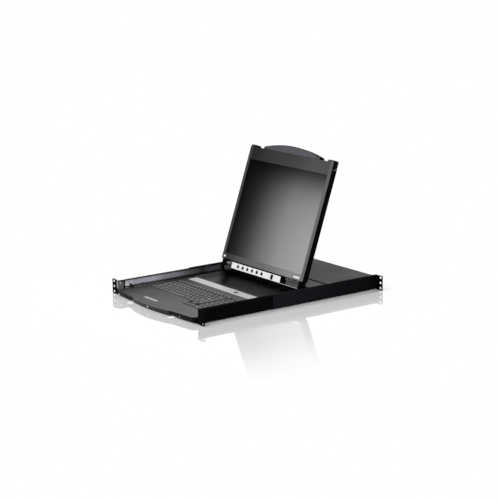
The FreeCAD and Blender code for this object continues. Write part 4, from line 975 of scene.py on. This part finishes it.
hingeLook = {
    "washer": 8.9 * mm,
    "washerBore": 4.4 * mm,
    "washerThickness": 0.8 * mm,
    "washerGap": 0.35 * mm,
    "sleeve": (-0.172, -0.149),          # across the display
    "sleeveRadius": 5.2 * mm,
    "sleeveEdge": 0.8 * mm,
    "sleeveReach": 15.4 * mm,
    "sleeveOut": 4.2 * mm,
}


def makeHingeTrim(look):
    # a washer at each end of the barrels, and the grey sleeve beside the left end of the control strip
    bm = bmesh.new()
    sideways = turned(90, "Y")
    low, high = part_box("hinge_brackets")
    thickness, gap = look["washerThickness"], look["washerGap"]
    for x in (low.x - gap - thickness, high.x + gap):
        ring(bm, (x, hingePoint.y, hingePoint.z), look["washer"], look["washerBore"], thickness, 0, None, 36,
             sideways)
    left, right = look["sleeve"]
    middle = ((left + right) / 2, look["sleeveReach"], look["sleeveOut"])
    tube = disc(bm, middle, look["sleeveRadius"], right - left, 1, None, 28, sideways)
    ends = [edge for edge in edgesOf(tube) if abs(edge.verts[0].co.x - edge.verts[1].co.x) < 0.001 * mm]
    cut = rounded(bm, ends, look["sleeveEdge"], 2, False)["verts"]
    tube = dict.fromkeys(list(cut) + [vert for vert in tube if vert.is_valid])
    bmesh.ops.transform(bm, matrix=displayPlane, verts=list(tube))
    return pieceFrom(bm, "hinge.trim", [barrelMetal, sleevePaint], "display")


catchLook = {
    "line": 0.7 * mm,
    "inward": 1.0 * mm,                  # how far the pale strip reaches on each side of the display's edge
    "outward": 0.5 * mm,
    "depth": (-8.2 * mm, 5.0 * mm),
    "edge": 0.15 * mm,
}


def makeCatchPlates(look):
    # painted highlight: a pale strip along the display's edge at the foot of each catch
    bm = bmesh.new()
    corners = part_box("catch_right")
    foot = min((toDisplay @ Vector((0, corner.y, corner.z))).y for corner in corners)
    edge = -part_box("display_back_cover")[0].x
    back, front = look["depth"]
    for side in (-1, 1):
        inner, outer = sorted((side * (edge - look["inward"]), side * (edge + look["outward"])))
        block(bm, (inner, foot - look["line"], back), (outer, foot, front), 0, displayPlane, look["edge"])
    return pieceFrom(bm, "catch.plates", [barrelMetal], "display")


backLook = {
    "ink": 0.1 * mm,
    "screws": [(x, reach) for x in (-0.182, 0.0, 0.182) for reach in (42 * mm, 345 * mm)],
    "screwSize": 3.4 * mm,
    "cross": (1.7 * mm, 0.35 * mm),
    "slots": 22,
    "slotPitch": 6 * mm,
    "slotSize": (1.6 * mm, 16 * mm),
    "slotRows": [66 * mm, 92 * mm],
}


def makeBackMarks(look):
    # screws and cooling slots in the back of the display, with painted shade: dark crosses and dark slots
    # stand in for their shaded hollows
    bm = bmesh.new()
    back = min((toDisplay @ vert.co).z for vert in nodes["display_back_cover"].data.vertices)
    ink = look["ink"]
    for x, reach in look["screws"]:
        disc(bm, (x, reach, back - ink / 2), look["screwSize"], ink, 0, displayPlane, 24)
        for wide, tall in (look["cross"], look["cross"][::-1]):
            block(bm, (x - wide, reach - tall, back - 1.5 * ink), (x + wide, reach + tall, back - ink), 1,
                  displayPlane)
    wide, tall = look["slotSize"][0] / 2, look["slotSize"][1] / 2
    for row in look["slotRows"]:
        for number in range(look["slots"]):
            x = (number - (look["slots"] - 1) / 2) * look["slotPitch"]
            block(bm, (x - wide, row - tall, back - ink), (x + wide, row + tall, back), 1, displayPlane)
    return pieceFrom(bm, "backCover.marks", [screwSteel, buttonDark], "display")


makeHingeTrim(hingeLook)
makeCatchPlates(catchLook)
makeBackMarks(backLook)
print("display marks and hinge made")


# marks on the keyboard deck and drawer front

deckLook = {
    "ink": 0.06 * mm,
    "lamps": [(0.084, "1"), (0.104, "A"), (0.124, "S")],     # indicator lamps beside the oval button
    "lampSize": 1.3 * mm,
    "lampLift": 3.2 * mm,
    "letter": 3.12 * mm,
    "letterDrop": 4.6 * mm,
    "oval": (0.68, 0.66),                # bore of the button's rim, and the share that the button fills
    "sign": 66 * mm,                     # across, the small power sign
    "signSize": (2.0 * mm, 1.4 * mm),
    "stroke": (0.3 * mm, 2.4 * mm),
}


def makeDeckMarks(look):
    bm = bmesh.new()
    low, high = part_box("status_strip")
    y = (low.y + high.y) / 2
    z = high.z
    ink = look["ink"]
    for x, text in look["lamps"]:
        disc(bm, (x, y + look["lampLift"], z + ink), look["lampSize"], 2 * ink, 1)
        place = Vector((x, y - look["letterDrop"], z + ink / 2))
        addLegend(bm, text, look["letter"], place, ink / 2, 0, True)
    low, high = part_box("status_button")
    bore, fit = look["oval"]
    oval = ring(bm, (0, 0, 0), 1.0, bore, ink, 2, None, 32)
    bmesh.ops.scale(bm, vec=((high.x - low.x) / 2 / fit, (high.y - low.y) / 2 / fit, 1), verts=oval)
    bmesh.ops.translate(bm, vec=((low.x + high.x) / 2, (low.y + high.y) / 2, z), verts=oval)
    outer, inner = look["signSize"]
    half, tall = look["stroke"]
    ring(bm, (look["sign"], y, z), outer, inner, ink, 0, None, 24)
    block(bm, (look["sign"] - half, y, z), (look["sign"] + half, y + tall, z + 1.2 * ink), 0)
    finishes = [darkInk, greenLamp, buttonDark]
    return pieceFrom(bm, "statusStrip.marks", finishes, "keyboard_drawer")


frontLook = {
    "window": (4.1 * mm, 2.1 * mm),      # half sizes of the pale window
    "windowMiddle": 12.65 * mm,
    "windowDepth": (0.25 * mm, 1.2 * mm),
    "windowEdge": 0.2 * mm,
    "gripFront": -37.5 * mm,             # foremost line of the grip, at its top
    "gripTop": 18.5 * mm,
    "gripLean": 12 / 16.5,               # how far it falls back for its height
    "lamp": (0.159, 3.4 * mm, 8.3 * mm),     # across, behind the port's front, and up
    "lampSize": (1.5 * mm, 1.2 * mm),
}


def makeFrontMarks(look):
    # the pale window in the grip and a lamp on the right shoulder
    bm = bmesh.new()
    half, tall = look["window"]
    middle = look["windowMiddle"]
    front = look["gripFront"] + look["gripLean"] * (look["gripTop"] - middle)
    near, far = look["windowDepth"]
    block(bm, (-half, front + near, middle - tall), (half, front + far, middle + tall), 0, None,
          look["windowEdge"])
    x, behind, z = look["lamp"]
    radius, depth = look["lampSize"]
    disc(bm, (x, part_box("usb_port")[0].y + behind, z), radius, depth, 1, None, 20, turned(90, "X"))
    return pieceFrom(bm, "frontBezel.lenses", [paleLamp, greenLamp], "keyboard_drawer")


makeDeckMarks(deckLook)
makeFrontMarks(frontLook)
print("deck marks made")


# punched holes in the inner slides, rivets in the folds behind the ears

slideLook = {
    "holes": [(39.6 * mm, 26.4 * mm, 3.1 * mm), (81 * mm, 25.0 * mm, 1.8 * mm)],    # along, up, radius
    "stretch": 1.5,
    "ink": 0.06 * mm,
    "rivet": (7.6 * mm, 33.6 * mm, 2.3 * mm),
    "rivetHead": 0.25 * mm,
}


def makeSlideHoles(look):
    bm = bmesh.new()
    nodeName = "display_inner_slide_left"
    inner = abs(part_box(nodeName)[1].x)
    for y, z, radius in look["holes"]:
        for side in (-1, 1):
            made = disc(bm, (0, 0, 0), radius, look["ink"], 0, None, 24, turned(90, "Y"))
            bmesh.ops.scale(bm, vec=(1, look["stretch"], 1), verts=made)
            bmesh.ops.translate(bm, vec=(side * (inner - look["ink"] / 2), y, z), verts=made)
    return pieceFrom(bm, "innerSlide.holes", [buttonDark], bodyOf[nodeName])


def makeEarRivets(look):
    bm = bmesh.new()
    y, z, radius = look["rivet"]
    head = look["rivetHead"]
    inner = abs(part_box("front_ear_left")[1].x)
    for side in (-1, 1):
        disc(bm, (side * (inner - head / 2), y, z), radius, head, 0, None, 20, turned(-90 * side, "Y"),
             0.7 * radius)
    return pieceFrom(bm, "frontEar.rivets", [labelWhite], "root")


makeSlideHoles(slideLook)
makeEarRivets(slideLook)
print("slide holes and rivets made")


# rear panel: port inserts, switch marks and screw recesses

portLook = {
    "shellWidth": 20 * mm,               # the shells are wider than their screws
    "inset": 1.6 * mm,                   # the insert's face behind the shell's rim
    "half": (7.2 * mm, 3.1 * mm),
    "depth": 3.0 * mm,
    "edge": 0.4 * mm,
    "pin": 0.45 * mm,
    "pinPitch": 2.3 * mm,
    "rowPitch": 1.9 * mm,
    "ink": 0.05 * mm,
}


def makePortInserts(look):
    # a black insert with three rows of five pins in each console port
    bm = bmesh.new()
    wide, tall = look["half"]
    pitch = look["pinPitch"]
    shells = [box for box in solidsOf("console_ports") if box[1].x - box[0].x > look["shellWidth"]]
    for low, high in sorted(shells, key=lambda box: box[0].x):
        x, z = (low.x + high.x) / 2, (low.z + high.z) / 2
        face = high.y - look["inset"]
        block(bm, (x - wide, face - look["depth"], z - tall), (x + wide, face, z + tall), 0, None,
              look["edge"])
        for row in (-1, 0, 1):
            shift = 0.25 * pitch if row == 0 else -0.25 * pitch
            for column in range(-2, 3):
                place = (x + column * pitch + shift, face + look["ink"] / 2, z + row * look["rowPitch"])
                disc(bm, place, look["pin"], look["ink"], 1, None, 8, turned(-90, "X"))
    return pieceFrom(bm, "consolePorts.inserts", [blackPlastic, portSteel], bodyOf["console_ports"])


rockerLook = {
    "bar": (0.3 * mm, 1.6 * mm),         # half sizes
    "ring": (1.7 * mm, 1.2 * mm),
    "ink": 0.05 * mm,
}


def makeRockerMarks(look):
    # the usual bar and ring for on and off, one on each half of the rocker
    shape = mergedCopy("power_rocker")
    outside = [face for face in shape.faces if face.normal.y > 0.7]
    halves = sorted(outside, key=lambda face: -face.calc_area())[:2]
    halves.sort(key=lambda face: -face.calc_center_median().z)
    bm = bmesh.new()
    for face, isBar in zip(halves, (True, False)):
        up = Vector(upZ) - face.normal * face.normal.z
        up.normalize()
        plane = Matrix((up.cross(face.normal), up, face.normal)).transposed().to_4x4()
        plane = Matrix.Translation(face.calc_center_median()) @ plane
        if isBar:
            half, tall = look["bar"]
            block(bm, (-half, -tall, 0), (half, tall, look["ink"]), 0, plane)
        else:
            ring(bm, (0, 0, 0), look["ring"][0], look["ring"][1], look["ink"], 0, plane, 28)
    shape.free()
    return pieceFrom(bm, "powerRocker.marks", [keyInk], bodyOf["power_rocker"])


screwLook = {
    "coverCross": (1.6 * mm, 0.225 * mm),     # half length and half width
    "groundCross": (1.7 * mm, 0.225 * mm),
    "sunk": 0.1 * mm,
    "ink": 0.05 * mm,
}


def makeScrewCrosses(look):
    # painted shade: dark crosses on the screw heads stand in for the shade in their cross slots
    bm = bmesh.new()
    sunk, proud = look["sunk"], look["ink"] / 2
    screws = sorted(solidsOf("cover_screws"), key=lambda box: (round(box[0].x, 4), box[0].y))
    for low, high in screws:
        x, y, z = (low.x + high.x) / 2, (low.y + high.y) / 2, high.z
        for wide, tall in (look["coverCross"], look["coverCross"][::-1]):
            block(bm, (x - wide, y - tall, z - sunk), (x + wide, y + tall, z + proud), 0)
    low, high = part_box("ground_screw")
    x, y, z = (low.x + high.x) / 2, high.y, (low.z + high.z) / 2
    for wide, tall in (look["groundCross"], look["groundCross"][::-1]):
        block(bm, (x - wide, y - sunk, z - tall), (x + wide, y + proud, z + tall), 0)
    return pieceFrom(bm, "screw.recesses", [darkInk], "root")


makePortInserts(portLook)
makeRockerMarks(rockerLook)
makeScrewCrosses(screwLook)
print("rear details made")


# stage and light

stageLook = {
    "floor": 14.0,
    "drop": 0.4 * mm,                                 # the floor lies this far below the feet
    "colour": 0.95,
    "polish": 0.02,
    "ambient": 0.86,
    "ground": ((0.0, 0.30), (0.213, 0.34)),           # middle and half sizes of the ground that it covers
    "mirror": [(0.0, 0.42), (0.09, 0.42), (0.165, 0.29), (0.25, 0.25), (0.42, 0.07), (0.55, 0.0)],
    "shadow": ((0.0, 0.335), (0.236, 0.335)),         # and of the ground that keeps its shadow
    "white": [(0.0, 0.0), (0.02, 0.75), (0.1, 0.95), (0.3, 1.0)],      # shares by distance from them
    "paintedLightSpots": [(-0.107, -0.024), (0.101, -0.018)],     # painted light: pure white floor patches under the finger gaps
    "paintedLightSpot": [(0.0, 1.0), (0.005, 1.0), (0.013, 0.0), (0.03, 0.0)],
}
lampLook = {
    "keyLight": {"place": (-0.9, -1.6, 2.6), "size": (2.4, 1.8), "power": 34.0},
    "fillLight": {"place": (1.8, -1.2, 1.6), "size": (1.6, 1.6), "power": 9.0},
}
lampTarget = Vector((0, 0.3, 0.1))


def seenDirectly(tree):
    # true for rays from the camera, off gloss and through glass
    rays = tree.nodes.new("ShaderNodeLightPath").outputs
    direct = joined(tree, "MAXIMUM", rays["Is Camera Ray"], rays["Is Glossy Ray"])
    return joined(tree, "MAXIMUM", direct, rays["Is Transmission Ray"])


def mixed(tree, share, first, second):
    blend = tree.nodes.new("ShaderNodeMixShader")
    tree.links.new(share, blend.inputs["Fac"])
    tree.links.new(first, blend.inputs[1])
    tree.links.new(second, blend.inputs[2])
    return blend.outputs["Shader"]


def distanceFrom(tree, ground):
    # distance along the floor from the edge of a patch of ground
    value = tree.nodes.new("ShaderNodeTexCoord").outputs["Object"]
    value = measured(tree, "SUBTRACT", value, ground[0] + (0,)).outputs["Vector"]
    value = measured(tree, "ABSOLUTE", value).outputs["Vector"]
    value = measured(tree, "SUBTRACT", value, ground[1] + (1,)).outputs["Vector"]
    value = measured(tree, "MAXIMUM", value, (0, 0, 0)).outputs["Vector"]
    return measured(tree, "LENGTH", value).outputs["Value"]


def spotsOn(tree, look):
    # painted light: share of every small patch of floor under a gap that is shown pure white
    source = tree.nodes.new("ShaderNodeTexCoord").outputs["Object"]
    flat = measured(tree, "MULTIPLY", source, (1, 1, 0)).outputs["Vector"]
    total = None
    for place in look["paintedLightSpots"]:
        reach = measured(tree, "DISTANCE", flat, place + (0,)).outputs["Value"]
        share = lineRamp(tree, reach, greys(look["paintedLightSpot"]))
        total = share if total is None else joined(tree, "MAXIMUM", total, share)
    return total


def makeFloor(look):
    bm = bmesh.new()
    bmesh.ops.create_grid(bm, x_segments=1, y_segments=1, size=look["floor"] / 2)
    bmesh.ops.translate(bm, vec=(0, 0, -look["drop"]), verts=bm.verts)
    mesh = bpy.data.meshes.new("studioFloor")
    bm.to_mesh(mesh)
    bm.free()
    floor = bpy.data.objects.new("studioFloor", mesh)
    bpy.context.collection.objects.link(floor)
    material = bpy.data.materials.new("studioFloor")
    material.use_nodes = True
    tree = material.node_tree
    tree.nodes.clear()
    output = tree.nodes.new("ShaderNodeOutputMaterial")
    matt = tree.nodes.new("ShaderNodeBsdfDiffuse")
    matt.inputs["Color"].default_value = grey(look["colour"])
    white = tree.nodes.new("ShaderNodeEmission")
    white.inputs["Color"].default_value = grey(1)
    white.inputs["Strength"].default_value = 1.0
    gloss = tree.nodes.new("ShaderNodeBsdfGlossy")
    gloss.inputs["Roughness"].default_value = look["polish"]
    gloss.inputs["Color"].default_value = grey(1)
    plain = lineRamp(tree, distanceFrom(tree, look["shadow"]), greys(look["white"]))
    paintedLightSpots = spotsOn(tree, look)
    shown = joined(tree, "MULTIPLY", joined(tree, "MAXIMUM", plain, paintedLightSpots), seenDirectly(tree))
    ground = mixed(tree, shown, matt.outputs["BSDF"], white.outputs["Emission"])
    polished = lineRamp(tree, distanceFrom(tree, look["ground"]), greys(look["mirror"]))
    dulled = joined(tree, "SUBTRACT", polished, joined(tree, "MULTIPLY", polished, paintedLightSpots))
    tree.links.new(mixed(tree, dulled, ground, gloss.outputs["BSDF"]), output.inputs["Surface"])
    mesh.materials.append(material)
    return floor


def backdrop(tree, strength):
    # an even white surrounding
    background = tree.nodes.new("ShaderNodeBackground")
    background.inputs["Color"].default_value = grey(1)
    background.inputs["Strength"].default_value = strength
    return background.outputs["Background"]


def makeWorld(look):
    world = bpy.data.worlds.new("studioWorld")
    bpy.context.scene.world = world
    world.use_nodes = True
    tree = world.node_tree
    tree.nodes.clear()
    output = tree.nodes.new("ShaderNodeOutputWorld")
    lighting, white = backdrop(tree, look["ambient"]), backdrop(tree, 1.0)
    tree.links.new(mixed(tree, seenDirectly(tree), lighting, white), output.inputs["Surface"])


def softBox(name, look):
    data = bpy.data.lights.new(name, "AREA")
    data.shape = "RECTANGLE"
    data.size, data.size_y = look["size"]
    data.energy = look["power"]
    lamp = bpy.data.objects.new(name, data)
    bpy.context.collection.objects.link(lamp)
    place = Vector(look["place"])
    aim = (lampTarget - place).to_track_quat("-Z", "Y")
    lamp.matrix_world = Matrix.Translation(place) @ aim.to_matrix().to_4x4()
    return lamp


makeFloor(stageLook)
makeWorld(stageLook)
for lampName, look in lampLook.items():
    softBox(lampName, look)
print("stage and light set")
